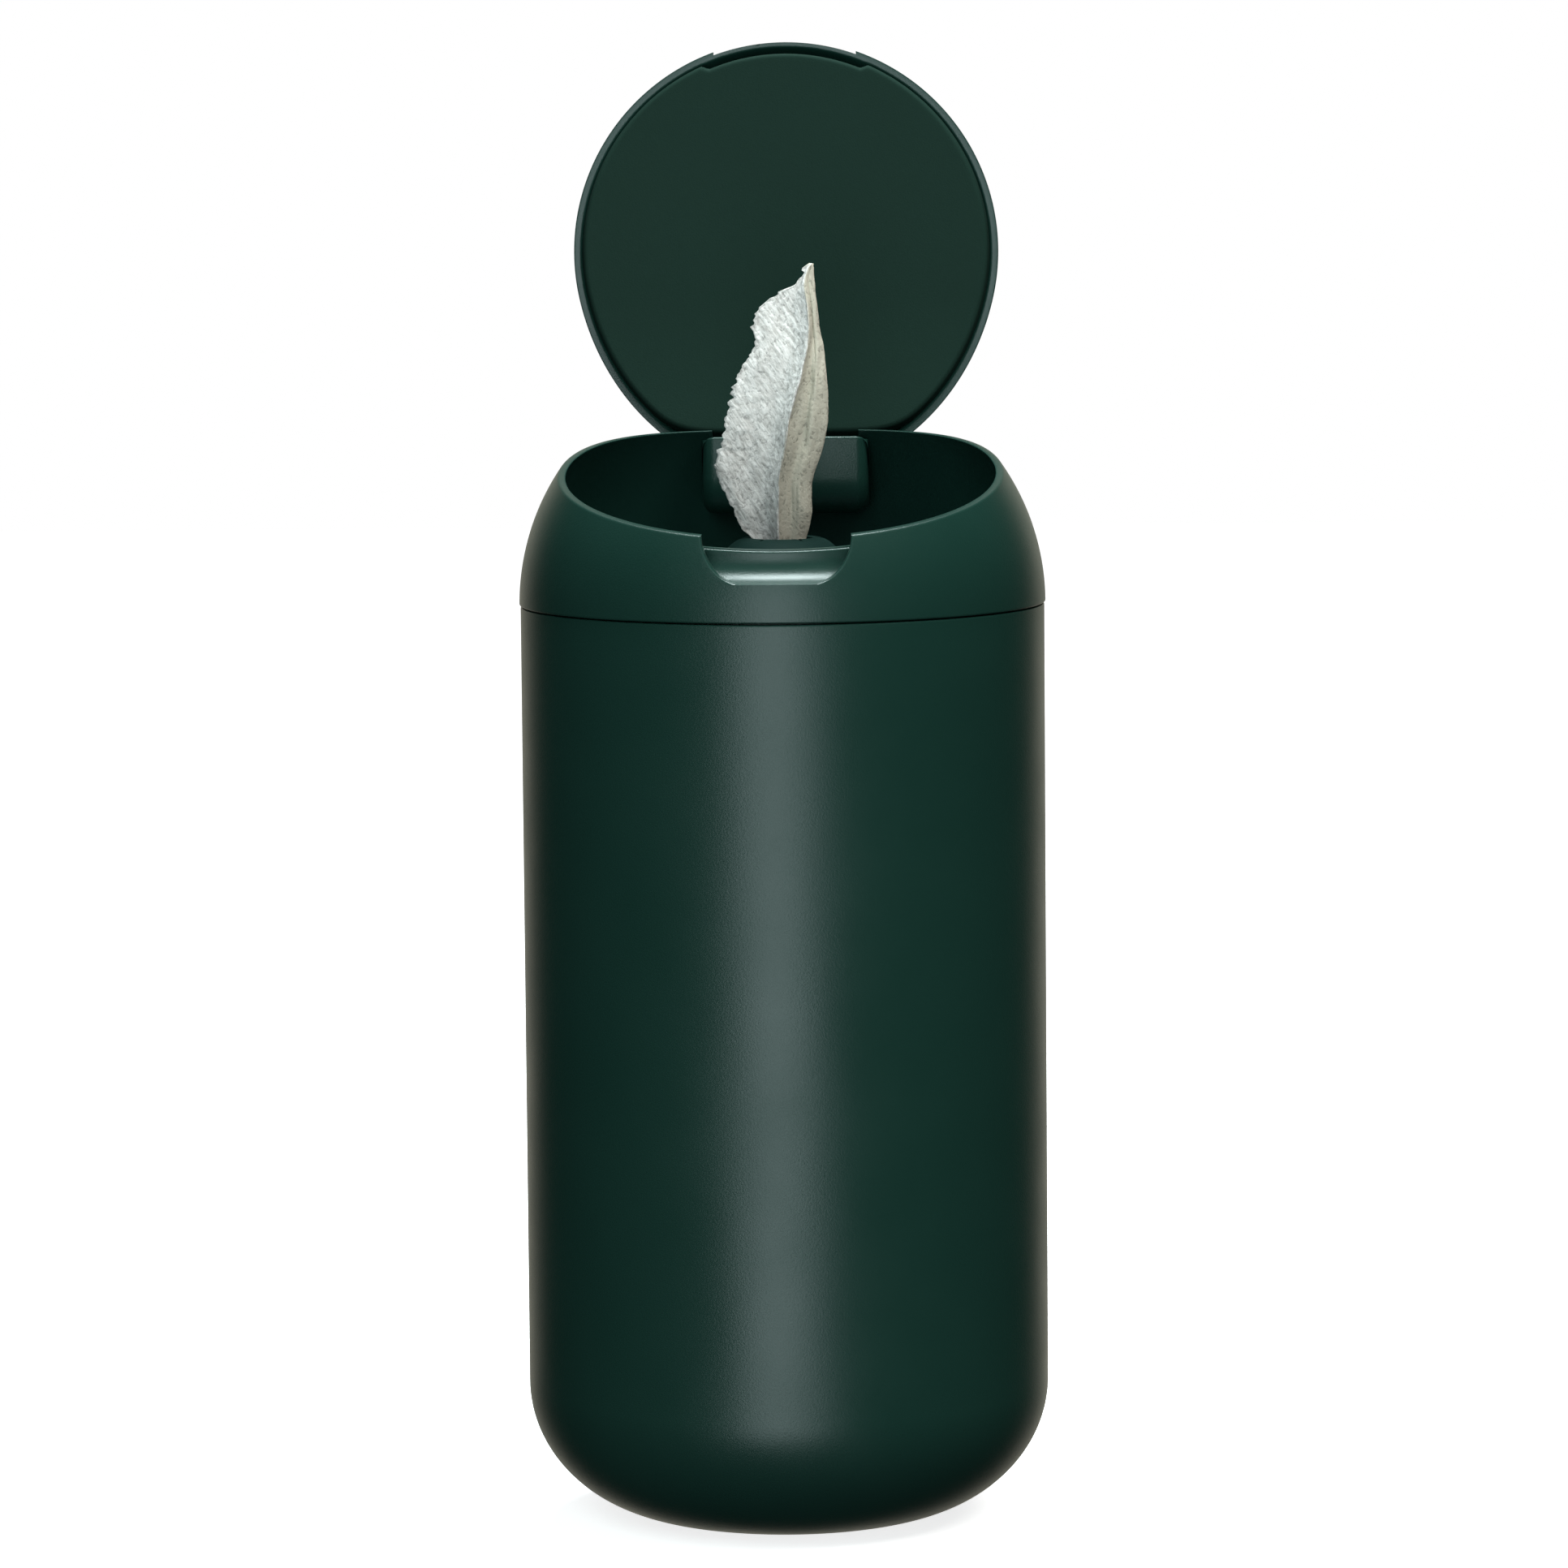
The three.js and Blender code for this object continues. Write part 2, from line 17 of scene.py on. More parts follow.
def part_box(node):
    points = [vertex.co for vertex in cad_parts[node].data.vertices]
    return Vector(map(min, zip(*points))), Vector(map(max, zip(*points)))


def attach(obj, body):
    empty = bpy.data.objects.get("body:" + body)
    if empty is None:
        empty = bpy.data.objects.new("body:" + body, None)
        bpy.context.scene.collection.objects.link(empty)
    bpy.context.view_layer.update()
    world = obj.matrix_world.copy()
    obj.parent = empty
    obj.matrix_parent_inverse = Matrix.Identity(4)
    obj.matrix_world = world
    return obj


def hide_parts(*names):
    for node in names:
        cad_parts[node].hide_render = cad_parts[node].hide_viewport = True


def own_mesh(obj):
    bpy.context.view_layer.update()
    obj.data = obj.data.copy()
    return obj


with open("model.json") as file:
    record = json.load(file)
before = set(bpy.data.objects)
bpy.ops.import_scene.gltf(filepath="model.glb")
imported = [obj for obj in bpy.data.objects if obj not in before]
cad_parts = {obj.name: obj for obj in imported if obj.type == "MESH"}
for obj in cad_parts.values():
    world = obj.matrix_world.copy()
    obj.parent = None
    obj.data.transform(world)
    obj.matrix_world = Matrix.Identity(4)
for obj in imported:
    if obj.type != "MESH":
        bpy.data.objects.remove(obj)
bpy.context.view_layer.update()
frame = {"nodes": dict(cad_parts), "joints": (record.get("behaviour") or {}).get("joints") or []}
mm = 0.001
print("frame loaded:", sorted(frame["nodes"]))

# %% [markdown]
# The camera
#
# The picture was taken from a little above, with a long lens and the camera tilted down six degrees.
# A camera could be placed by eye, but its place was measured here from the straight sides, the seam
# and the rounded bottom, so it is written as a position, three small angles and a lens.

# %% Camera
camera_from_axis = 1600.0 * mm
camera_height = 322.0 * mm
camera_around = math.radians(1.35)
camera_down = math.radians(5.93)
camera_roll = math.radians(-0.49)
sensor_width = 36.0
focal_over_width = 9426 / 1932


def camera_matrix():
    forward = Vector((0, math.cos(camera_down), -math.sin(camera_down)))
    right = Vector((1, 0, 0))
    up = right.cross(forward)
    rolled_right = right * math.cos(camera_roll) + up * math.sin(camera_roll)
    rolled_up = up * math.cos(camera_roll) - right * math.sin(camera_roll)
    turn = Matrix((rolled_right, rolled_up, -forward)).transposed().to_4x4()
    place = Matrix.Translation((0, -camera_from_axis, camera_height))
    return Matrix.Rotation(camera_around, 4, "Z") @ place @ turn


camera_data = bpy.data.cameras.new("camera")
camera_data.sensor_width = sensor_width
camera_data.lens = sensor_width * focal_over_width
camera = bpy.data.objects.new("camera", camera_data)
camera.matrix_world = camera_matrix()
bpy.context.scene.collection.objects.link(camera)
bpy.context.scene.camera = camera
bpy.context.scene.view_settings.view_transform = "Standard"
print("camera at", [round(v, 4) for v in camera.location], "lens", round(camera_data.lens, 1))

# %% [markdown]
# Light and background
#
# The object stands in a white studio. A tall soft lamp beside the camera draws the single upright
# highlight, one straight above lights the hollow of the scoop, two that are not mirrored fill the
# shadows, and the white wall behind edges the round sides with pale light. The world is white for
# the camera; for reflections it is the white wall behind with the dark room in front.

# %% World
world = bpy.data.worlds.new("studio")
bpy.context.scene.world = world
world.use_nodes = True
wall_light = 1.0
wall_mirrored = 0.62
wall_tint = (1.0, 0.97, 0.8)
wall_begins = 0.7
wall_whole = 0.97
room_reflection = 0.008
room_fill = 0.05


def build_world():
    nodes, links = world.node_tree.nodes, world.node_tree.links
    nodes.clear()
    out = nodes.new("ShaderNodeOutputWorld")
    path = nodes.new("ShaderNodeLightPath")
    direction = nodes.new("ShaderNodeTexCoord")
    split = nodes.new("ShaderNodeSeparateXYZ")
    links.new(direction.outputs["Generated"], split.inputs[0])
    behind = nodes.new("ShaderNodeMapRange")
    behind.interpolation_type = "SMOOTHSTEP"
    behind.inputs["From Min"].default_value = wall_begins
    behind.inputs["From Max"].default_value = wall_whole
    behind.inputs["To Min"].default_value = room_reflection
    behind.inputs["To Max"].default_value = wall_mirrored
    links.new(split.outputs["Y"], behind.inputs["Value"])
    seen = nodes.new("ShaderNodeBackground")
    seen.inputs["Color"].default_value = (1, 1, 1, 1)
    seen.inputs["Strength"].default_value = wall_light
    mirrored = nodes.new("ShaderNodeBackground")
    mirrored.inputs["Color"].default_value = (*wall_tint, 1)
    links.new(behind.outputs["Result"], mirrored.inputs["Strength"])
    fill = nodes.new("ShaderNodeBackground")
    fill.inputs["Color"].default_value = (1, 1, 1, 1)
    fill.inputs["Strength"].default_value = room_fill
    shiny = nodes.new("ShaderNodeMath")
    shiny.operation = "MAXIMUM"
    links.new(path.outputs["Is Glossy Ray"], shiny.inputs[0])
    links.new(path.outputs["Is Transmission Ray"], shiny.inputs[1])
    by_gloss = nodes.new("ShaderNodeMixShader")
    links.new(shiny.outputs[0], by_gloss.inputs[0])
    links.new(fill.outputs[0], by_gloss.inputs[1])
    links.new(mirrored.outputs[0], by_gloss.inputs[2])
    by_camera = nodes.new("ShaderNodeMixShader")
    links.new(path.outputs["Is Camera Ray"], by_camera.inputs[0])
    links.new(by_gloss.outputs[0], by_camera.inputs[1])
    links.new(seen.outputs[0], by_camera.inputs[2])
    links.new(by_camera.outputs[0], out.inputs["Surface"])


build_world()
print("world built")

# %% Lamps
body_middle = Vector((0, 0, 150 * mm))


def soft_lamp(name, around, height, distance, width, tall, watts, colour, mirrored=True):
    """A rectangular lamp at an angle round the axis, 0 at the front and 90 on the right.

    Lengths are in metres. A lamp that isn't mirrored lights the plastic but leaves no highlight.
    """
    data = bpy.data.lights.new(name, "AREA")
    data.shape = "RECTANGLE"
    data.size = width
    data.size_y = tall
    data.energy = watts
    data.color = colour
    lamp = bpy.data.objects.new(name, data)
    angle = math.radians(around)
    lamp.location = (distance * math.sin(angle), -distance * math.cos(angle), height)
    aim = body_middle - Vector(lamp.location)
    lamp.rotation_euler = aim.to_track_quat("-Z", "Y").to_euler()
    lamp.visible_glossy = mirrored
    bpy.context.scene.collection.objects.link(lamp)


soft_lamp("front_lamp", -3, 0.02, 1.9, 0.95, 1.7, 17, (0.82, 0.98, 1.0))
soft_lamp("right_lamp", 46, 1.35, 0.95, 1.0, 1.0, 22, (1.0, 0.98, 0.94), False)
soft_lamp("top_lamp", 180, 1.5, 0.12, 0.6, 0.6, 30, (0.86, 1.0, 1.0))
soft_lamp("fill_lamp", -22, 1.0, 1.3, 0.8, 0.8, 9, (0.85, 1.0, 1.0), False)
print("lamps:", len(bpy.data.lights))

# %% [markdown]
# The floor
#
# The floor is white paint that also glows for the camera alone, so it stays white to the horizon
# without lighting the object. Near the object it glows a little less, which keeps its shadow.

# %% Floor
floor_size = 6.0
floor_paint = 0.86
near_glow, near_distance = 0.8, 0.1
far_glow, far_distance = 1.0, 0.5


def build_floor():
    bm = bmesh.new()
    bmesh.ops.create_grid(bm, x_segments=1, y_segments=1, size=floor_size / 2)
    mesh = bpy.data.meshes.new("floor")
    bm.to_mesh(mesh)
    bm.free()
    floor = bpy.data.objects.new("floor", mesh)
    bpy.context.scene.collection.objects.link(floor)
    material = bpy.data.materials.new("floor_white")
    material.use_nodes = True
    nodes, links = material.node_tree.nodes, material.node_tree.links
    nodes.clear()
    out = nodes.new("ShaderNodeOutputMaterial")
    paint = nodes.new("ShaderNodeBsdfDiffuse")
    paint.inputs["Color"].default_value = (floor_paint, floor_paint, floor_paint, 1)
    glow = nodes.new("ShaderNodeEmission")
    path = nodes.new("ShaderNodeLightPath")
    where = nodes.new("ShaderNodeTexCoord")
    distance = nodes.new("ShaderNodeVectorMath")
    distance.operation = "LENGTH"
    links.new(where.outputs["Object"], distance.inputs[0])
    away = nodes.new("ShaderNodeMapRange")
    away.inputs["From Min"].default_value = near_distance
    away.inputs["From Max"].default_value = far_distance
    away.inputs["To Min"].default_value = near_glow
    away.inputs["To Max"].default_value = far_glow
    links.new(distance.outputs["Value"], away.inputs["Value"])
    level = nodes.new("ShaderNodeMath")
    level.operation = "MULTIPLY"
    links.new(away.outputs["Result"], level.inputs[1])
    links.new(path.outputs["Is Camera Ray"], level.inputs[0])
    links.new(level.outputs[0], glow.inputs["Strength"])
    both = nodes.new("ShaderNodeAddShader")
    links.new(paint.outputs[0], both.inputs[0])
    links.new(glow.outputs[0], both.inputs[1])
    links.new(both.outputs[0], out.inputs["Surface"])
    mesh.materials.append(material)
    floor.visible_glossy = False
    floor.visible_diffuse = False
    floor.visible_shadow = False


build_floor()
print("floor built")

# %% [markdown]
# Finishes
#
# The casing is one dark green plastic with a fine soft-touch grain. A plain colour would look like
# paint on a screen, so the grain is one node group that every moulded piece shares: it reads the
# piece's own coordinates and puts out a small change of colour, of roughness, and a bumped normal.

# %% Moulded plastic
def socket(group, name, direction, kind, value=None):
    made = group.interface.new_socket(name=name, in_out=direction, socket_type=kind)
    if value is not None:
        made.default_value = value
    return made


def build_grain_group():
    group = bpy.data.node_groups.new("moulded_grain", "ShaderNodeTree")
    socket(group, "Grain Scale", "INPUT", "NodeSocketFloat", 2600.0)
    socket(group, "Grain Height", "INPUT", "NodeSocketFloat", 0.05)
    socket(group, "Roughness", "INPUT", "NodeSocketFloat", 0.45)
    socket(group, "Mottle", "OUTPUT", "NodeSocketFloat")
    socket(group, "Roughness", "OUTPUT", "NodeSocketFloat")
    socket(group, "Normal", "OUTPUT", "NodeSocketVector")
    nodes, links = group.nodes, group.links
    given = nodes.new("NodeGroupInput")
    result = nodes.new("NodeGroupOutput")
    where = nodes.new("ShaderNodeTexCoord")
    grain = nodes.new("ShaderNodeTexNoise")
    grain.inputs["Detail"].default_value = 3.0
    grain.inputs["Roughness"].default_value = 0.6
    links.new(where.outputs["Object"], grain.inputs["Vector"])
    links.new(given.outputs["Grain Scale"], grain.inputs["Scale"])
    mottle = nodes.new("ShaderNodeTexNoise")
    mottle.inputs["Scale"].default_value = 45.0
    mottle.inputs["Detail"].default_value = 4.0
    links.new(where.outputs["Object"], mottle.inputs["Vector"])
    wear = nodes.new("ShaderNodeMapRange")
    wear.inputs["From Min"].default_value = 0.3
    wear.inputs["From Max"].default_value = 0.7
    wear.inputs["To Min"].default_value = -0.03
    wear.inputs["To Max"].default_value = 0.03
    links.new(mottle.outputs["Fac"], wear.inputs["Value"])
    total = nodes.new("ShaderNodeMath")
    total.operation = "ADD"
    links.new(given.outputs["Roughness"], total.inputs[0])
    links.new(wear.outputs["Result"], total.inputs[1])
    bump = nodes.new("ShaderNodeBump")
    bump.inputs["Distance"].default_value = 0.0004
    links.new(given.outputs["Grain Height"], bump.inputs["Strength"])
    links.new(grain.outputs["Fac"], bump.inputs["Height"])
    links.new(mottle.outputs["Fac"], result.inputs["Mottle"])
    links.new(total.outputs[0], result.inputs["Roughness"])
    links.new(bump.outputs["Normal"], result.inputs["Normal"])
    return group


grain_group = build_grain_group()


def moulded(name, dark, light, roughness, specular=0.35, scale=2600.0, height=0.12):
    """A moulded material that drifts between two near colours."""
    material = bpy.data.materials.new(name)
    material.use_nodes = True
    nodes, links = material.node_tree.nodes, material.node_tree.links
    shader = nodes["Principled BSDF"]
    grain = nodes.new("ShaderNodeGroup")
    grain.node_tree = grain_group
    grain.inputs["Grain Scale"].default_value = scale
    grain.inputs["Grain Height"].default_value = height
    grain.inputs["Roughness"].default_value = roughness
    drift = nodes.new("ShaderNodeMix")
    drift.data_type = "RGBA"
    drift.inputs["A"].default_value = (*dark, 1)
    drift.inputs["B"].default_value = (*light, 1)
    links.new(grain.outputs["Mottle"], drift.inputs["Factor"])
    links.new(drift.outputs["Result"], shader.inputs["Base Color"])
    links.new(grain.outputs["Roughness"], shader.inputs["Roughness"])
    links.new(grain.outputs["Normal"], shader.inputs["Normal"])
    shader.inputs["Specular IOR Level"].default_value = specular
    return material


green_dark = (0.0062, 0.0262, 0.0202)
green_light = (0.0074, 0.0298, 0.023)
casing_green = moulded("casing_green", green_dark, green_light, 0.34, 0.5)
bowl_green = moulded("bowl_green", (0.0055, 0.026, 0.0235), (0.0068, 0.03, 0.0275), 0.42, 0.3)
liner_green = moulded("liner_green", (0.0088, 0.0228, 0.0175), (0.0102, 0.0258, 0.02), 0.7, 0.05)
foot_black = moulded("foot_black", (0.006, 0.008, 0.007), (0.01, 0.012, 0.011), 0.8, 0.3)
seal_grey = moulded("seal_grey", (0.025, 0.038, 0.034), (0.032, 0.046, 0.041), 0.5)
valve_green = moulded("valve_green", (0.005, 0.015, 0.013), (0.007, 0.019, 0.0165), 0.62, 0.04)
print("plastics:", [m.name for m in (casing_green, bowl_green, liner_green, valve_green)])

# %% [markdown]
# Turned shells
#
# Nearly every piece is a round shell. Each starts as a line of points spun once round the axis,
# which gives clean rings of faces, and then every point slides to its place. A plain shell keeps
# its radius all the way round; the collar and the lid slide their points along the dome until
# they meet the slanted mouth, so the rim stays one smooth rounded edge.

# %% Spinning a skin
def spun(name, rows, turns, place, ring=False):
    """Spins rows of points round the axis and moves each to place(row, angle)."""
    bm = bmesh.new()
    line = [bm.verts.new((1, 0, row)) for row in range(rows)]
    pairs = list(zip(line, line[1:])) + ([(line[-1], line[0])] if ring else [])
    edges = [bm.edges.new(pair) for pair in pairs]
    bmesh.ops.spin(
        bm,
        geom=line + edges,
        cent=(0, 0, 0),
        axis=(0, 0, 1),
        angle=math.tau,
        steps=turns,
        use_merge=True,
    )
    for vert in bm.verts:
        vert.co = place(round(vert.co.z), math.atan2(vert.co.y, vert.co.x))
    bmesh.ops.remove_doubles(bm, verts=bm.verts, dist=0.0005 * mm)
    return finished(bm, name)


def finished(bm, name, smooth_angle=35):
    """Turns the faces outward, shades them and makes the object."""
    bmesh.ops.recalc_face_normals(bm, faces=bm.faces)
    mesh = bpy.data.meshes.new(name)
    bm.to_mesh(mesh)
    bm.free()
    piece = bpy.data.objects.new(name, mesh)
    bpy.context.scene.collection.objects.link(piece)
    shade(piece, smooth_angle)
    return piece


def shade(piece, smooth_angle=35):
    piece.data.shade_smooth()
    piece.data.set_sharp_from_angle(angle=math.radians(smooth_angle))


def turned(profile):
    """The place of each point of a plain round profile of (radius, height) in millimetres."""
    def place(row, angle):
        radius, height = profile[row]
        return Vector((radius * math.cos(angle), radius * math.sin(angle), height)) * mm
    return place


def arc(centre, radii, start, end, steps):
    """Points on an arc between two angles in degrees, both ends included."""
    points = []
    for i in range(steps + 1):
        angle = math.radians(start + (end - start) * i / steps)
        points.append((centre[0] + radii[0] * math.cos(angle), centre[1] + radii[1] * math.sin(angle)))
    return points


def rounded(corner, before, after, size, steps=4):
    """Points that round a corner of a profile, by a share of the way to its neighbours."""
    corner, before, after = Vector(corner), Vector(before), Vector(after)
    start = corner + (before - corner).normalized() * size
    end = corner + (after - corner).normalized() * size
    points = []
    for i in range(steps + 1):
        t = i / steps
        point = start * (1 - t) ** 2 + corner * 2 * t * (1 - t) + end * t ** 2
        points.append((point.x, point.y))
    return points


def dress(piece, material, body, slot, *nodes):
    """Gives a piece its finish and its body, and hides the frame's solids that it replaces."""
    piece.data.materials.clear()
    piece.data.materials.append(material)
    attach(piece, body)
    if nodes:
        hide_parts(*nodes)


round_turns = 240

# %% [markdown]
# The canister
#
# A straight moulded cup with a big soft rounding at the bottom and a small one at its top edge,
# where the seam casts its thin dark line. Its sizes are read from the frame where the frame has
# them: the box of the canister gives the radius and the height.

# %% Canister and foot pad
canister_low, canister_high = (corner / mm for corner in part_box("canister"))
canister_radius = canister_high.x
canister_top = canister_high.z
canister_floor = canister_low.z
canister_wall = 2.2
bottom_round = (32.4, 28.8)
pad_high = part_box("foot_pad")[1] / mm
pad_radius = pad_high.x
pad_top = pad_high.z
gap = 0.3


def canister_profile():
    flat = canister_radius - bottom_round[0]
    centre = (flat, canister_floor + bottom_round[1])
    inner = (bottom_round[0] - canister_wall, bottom_round[1] - canister_wall)
    recess = (pad_radius + gap, canister_floor)
    top_outer = (canister_radius, canister_top)
    top_inner = (canister_radius - canister_wall, canister_top)
    return [
        (0, pad_top + gap),
        (pad_radius + gap, pad_top + gap),
        *rounded(recess, (recess[0], pad_top), (flat + 5, canister_floor), 0.3, 3),
        *arc(centre, bottom_round, -90, 0, 40),
        *[(canister_radius, centre[1] + (canister_top - centre[1]) * i / 12) for i in range(1, 12)],
        *rounded(top_outer, (canister_radius, 0), top_inner, 0.45, 5),
        *rounded(top_inner, top_outer, (top_inner[0], 0), 0.4, 3),
        *arc(centre, inner, 0, -90, 24),
        (0, canister_floor + canister_wall),
    ]


canister_points = canister_profile()
canister_shell = spun("canister_shell", len(canister_points), round_turns, turned(canister_points))
dress(canister_shell, casing_green, "canister", "canister_plastic", "canister")
pad_points = [
    (0, 0),
    *rounded((pad_radius, 0), (0, 0), (pad_radius, pad_top), 0.5),
    *rounded((pad_radius, pad_top), (pad_radius, 0), (0, pad_top), 0.25, 3),
    (0, pad_top),
]
pad_disc = spun("pad_disc", len(pad_points), 120, turned(pad_points))
dress(pad_disc, foot_black, "canister", "foot_rubber", "foot_pad")
print("canister", round(canister_radius, 2), "x", round(canister_top, 2), "mm")

# %% [markdown]
# The mouth
#
# Collar and lid part along one cut: a plane that leans back thirteen degrees and then rolls level
# in front of the hinge. Every point of both rims is found the same way, by sliding up the dome at
# one angle round the axis until its height is the height of the cut there.

# %% Dome and mouth
seam = 194.0
dome_arc = 50.9
dome_centre = canister_radius + 0.25 - dome_arc
shell_wall = 1.4
hinge = next(joint for joint in frame["joints"] if joint["name"] == "lid_hinge")
hinge_y, hinge_z = (value / mm for value in hinge["pos_m"][1:])
open_angle = math.radians(hinge["range_deg"][1])
mouth_rear = seam + 34.1
mouth_slope = math.tan(math.radians(13.3))
bend_rear = hinge_y - 5.3
bend_length = 35.7


def mouth_height(y):
    along = bend_rear - y
    if along <= 0:
        return mouth_rear
    if along <= bend_length:
        return mouth_rear - mouth_slope * along ** 2 / (2 * bend_length)
    return mouth_rear - mouth_slope * (along - bend_length / 2)


def dome_radius(height, offset=0.0):
    return dome_centre + math.sqrt((dome_arc - offset) ** 2 - (height - seam) ** 2)


def mouth_lift(angle, offset=0.0, rise=0.0):
    """Angle up the dome's arc at which it meets the mouth, raised by a rise."""
    height = mouth_rear
    for _ in range(14):
        radius = dome_radius(height, offset)
        height = mouth_height(radius * math.sin(angle)) + rise
    return math.asin((height - seam) / (dome_arc - offset))


def on_dome(lift, offset):
    """(radius, height) on the dome at an angle up its arc."""
    reach = dome_arc - offset
    return Vector((dome_centre + reach * math.cos(lift), seam + reach * math.sin(lift)))


def upright(point, angle):
    return Vector((point[0] * math.cos(angle), point[0] * math.sin(angle), point[1])) * mm


print("hinge at", round(hinge_y, 2), round(hinge_z, 2), "mm")

# %% Rounded rim
rim_round = 0.42
rim_steps = 4


def rim_points(angle, rise=0.0, below=True):
    """Profile points over the rim, from the outside to the inside, both corners rounded."""
    outer_lift = mouth_lift(angle, 0.0, rise)
    inner_lift = mouth_lift(angle, shell_wall, rise)
    outer = on_dome(outer_lift, 0.0)
    inner = on_dome(inner_lift, shell_wall)
    side = -1 if below else 1
    outer_side = on_dome(outer_lift + side * 2 * rim_round / dome_arc, 0.0)
    inner_side = on_dome(inner_lift + side * 2 * rim_round / dome_arc, shell_wall)
    return rounded(outer, outer_side, inner, rim_round, rim_steps) + rounded(
        inner, outer, inner_side, rim_round, rim_steps
    )


rim_cache = {}


def rim_row(angle, index, rise, below):
    key = (round(angle, 5), rise, below)
    if key not in rim_cache:
        rim_cache[key] = rim_points(angle, rise, below)
    return rim_cache[key][index]


rim_rows = 2 * (rim_steps + 1)
print("rim rows", rim_rows)

# %% [markdown]
# The collar
#
# One moulding: the dome outside, the bowl inside, a skirt below the seam that plugs into the
# canister. It is spun, then the scoop and the hinge housing are joined and cut with Boolean
# modifiers. The scoop's cutter flares where it meets the dome, which leaves the soft bright lip
# that the light catches in the picture.

# %% Collar shell
skirt_radius = canister_radius - canister_wall - 0.8
skirt_inner = skirt_radius - 2.4
skirt_bottom = seam - 10.0
groove_top = seam - 4.3 + gap
groove_bottom = groove_top - 2.4 - 2 * gap
groove_radius = skirt_radius + 0.5 - 1.7 - gap
seat_height = seam + 3.0 + gap
seat_radius = skirt_inner - 2.0
ledge_height = seat_height + 2.0
collar_bottom = seam + gap / 2
seam_round = 0.75
outer_rows = 26
inner_rows = 22


def collar_lower():
    """The fixed part of the collar's profile, from the bowl's ledge round the skirt to the seam."""
    edge = (canister_radius + 0.25, collar_bottom)
    return [
        (seat_radius, ledge_height),
        (seat_radius, seat_height),
        (skirt_inner, seat_height),
        (skirt_inner, skirt_bottom),
        (skirt_radius - 0.3, skirt_bottom),
        (skirt_radius, skirt_bottom + 0.3),
        (skirt_radius, groove_bottom),
        (groove_radius, groove_bottom),
        (groove_radius, groove_top),
        (skirt_radius, groove_top),
        (skirt_radius, collar_bottom),
        *rounded(edge, (skirt_radius, collar_bottom), (edge[0], collar_bottom + 5), 0.4),
    ]


def collar_place(row, angle):
    lower = collar_lower()
    if row < len(lower):
        return upright(lower[row], angle)
    row -= len(lower)
    start = math.asin(seam_round / dome_arc)
    if row < outer_rows:
        end = mouth_lift(angle) - 1.2 * rim_round / dome_arc
        return upright(on_dome(start + (end - start) * row / (outer_rows - 1), 0.0), angle)
    row -= outer_rows
    if row < rim_rows:
        return upright(rim_row(angle, row, 0.0, True), angle)
    row -= rim_rows
    start = mouth_lift(angle, shell_wall) - 1.2 * rim_round / dome_arc
    end = math.asin((ledge_height - seam) / (dome_arc - shell_wall))
    return upright(on_dome(start + (end - start) * row / (inner_rows - 1), shell_wall), angle)


collar_rows = len(collar_lower()) + outer_rows + rim_rows + inner_rows
collar_shell = spun("collar_shell", collar_rows, round_turns, collar_place, ring=True)
print("collar shell:", len(collar_shell.data.polygons), "faces")

# %% Joining and cutting
def combine(piece, tool, operation):
    """Joins or cuts a piece with a tool object, and removes the tool."""
    change = piece.modifiers.new("change", "BOOLEAN")
    change.operation = operation
    change.solver = "EXACT"
    change.object = tool
    bpy.context.view_layer.update()
    made = bpy.data.meshes.new_from_object(
        piece.evaluated_get(bpy.context.evaluated_depsgraph_get())
    )
    piece.modifiers.clear()
    old = piece.data
    piece.data = made
    bpy.data.meshes.remove(old)
    bpy.data.objects.remove(tool)
    shade(piece)


def block(name, low, high, bevel=0.0):
    """A rectangular block between two corners in millimetres, with rounded edges."""
    bm = bmesh.new()
    bmesh.ops.create_cube(bm, size=1)
    low, high = Vector(low), Vector(high)
    bmesh.ops.scale(bm, vec=(high - low) * mm, verts=bm.verts)
    bmesh.ops.translate(bm, vec=(high + low) / 2 * mm, verts=bm.verts)
    if bevel:
        bmesh.ops.bevel(
            bm,
            geom=bm.edges,
            offset=bevel * mm,
            offset_type="OFFSET",
            segments=3,
            profile=0.5,
            affect="EDGES",
            material=-1,
        )
    return finished(bm, name)


def hinge_rod(name, radius, half_length, segments=64):
    bm = bmesh.new()
    bmesh.ops.create_cone(
        bm,
        cap_ends=True,
        segments=segments,
        radius1=radius * mm,
        radius2=radius * mm,
        depth=2 * half_length * mm,
    )
    bmesh.ops.rotate(bm, verts=bm.verts, matrix=Matrix.Rotation(math.pi / 2, 3, "Y"))
    bmesh.ops.translate(bm, verts=bm.verts, vec=Vector((0, hinge_y, hinge_z)) * mm)
    return finished(bm, name)


def dome_ball(name, offset):
    """The dome as a full solid, shrunk inward by an offset."""
    reach = dome_arc - offset
    start = math.degrees(math.asin((seat_height - seam) / reach))
    skin = arc((dome_centre, seam), (reach, reach), start, 90, 40)
    points = [(0, seat_height), *skin, (0, seam + reach)]
    return spun(name, len(points), round_turns, turned(points))


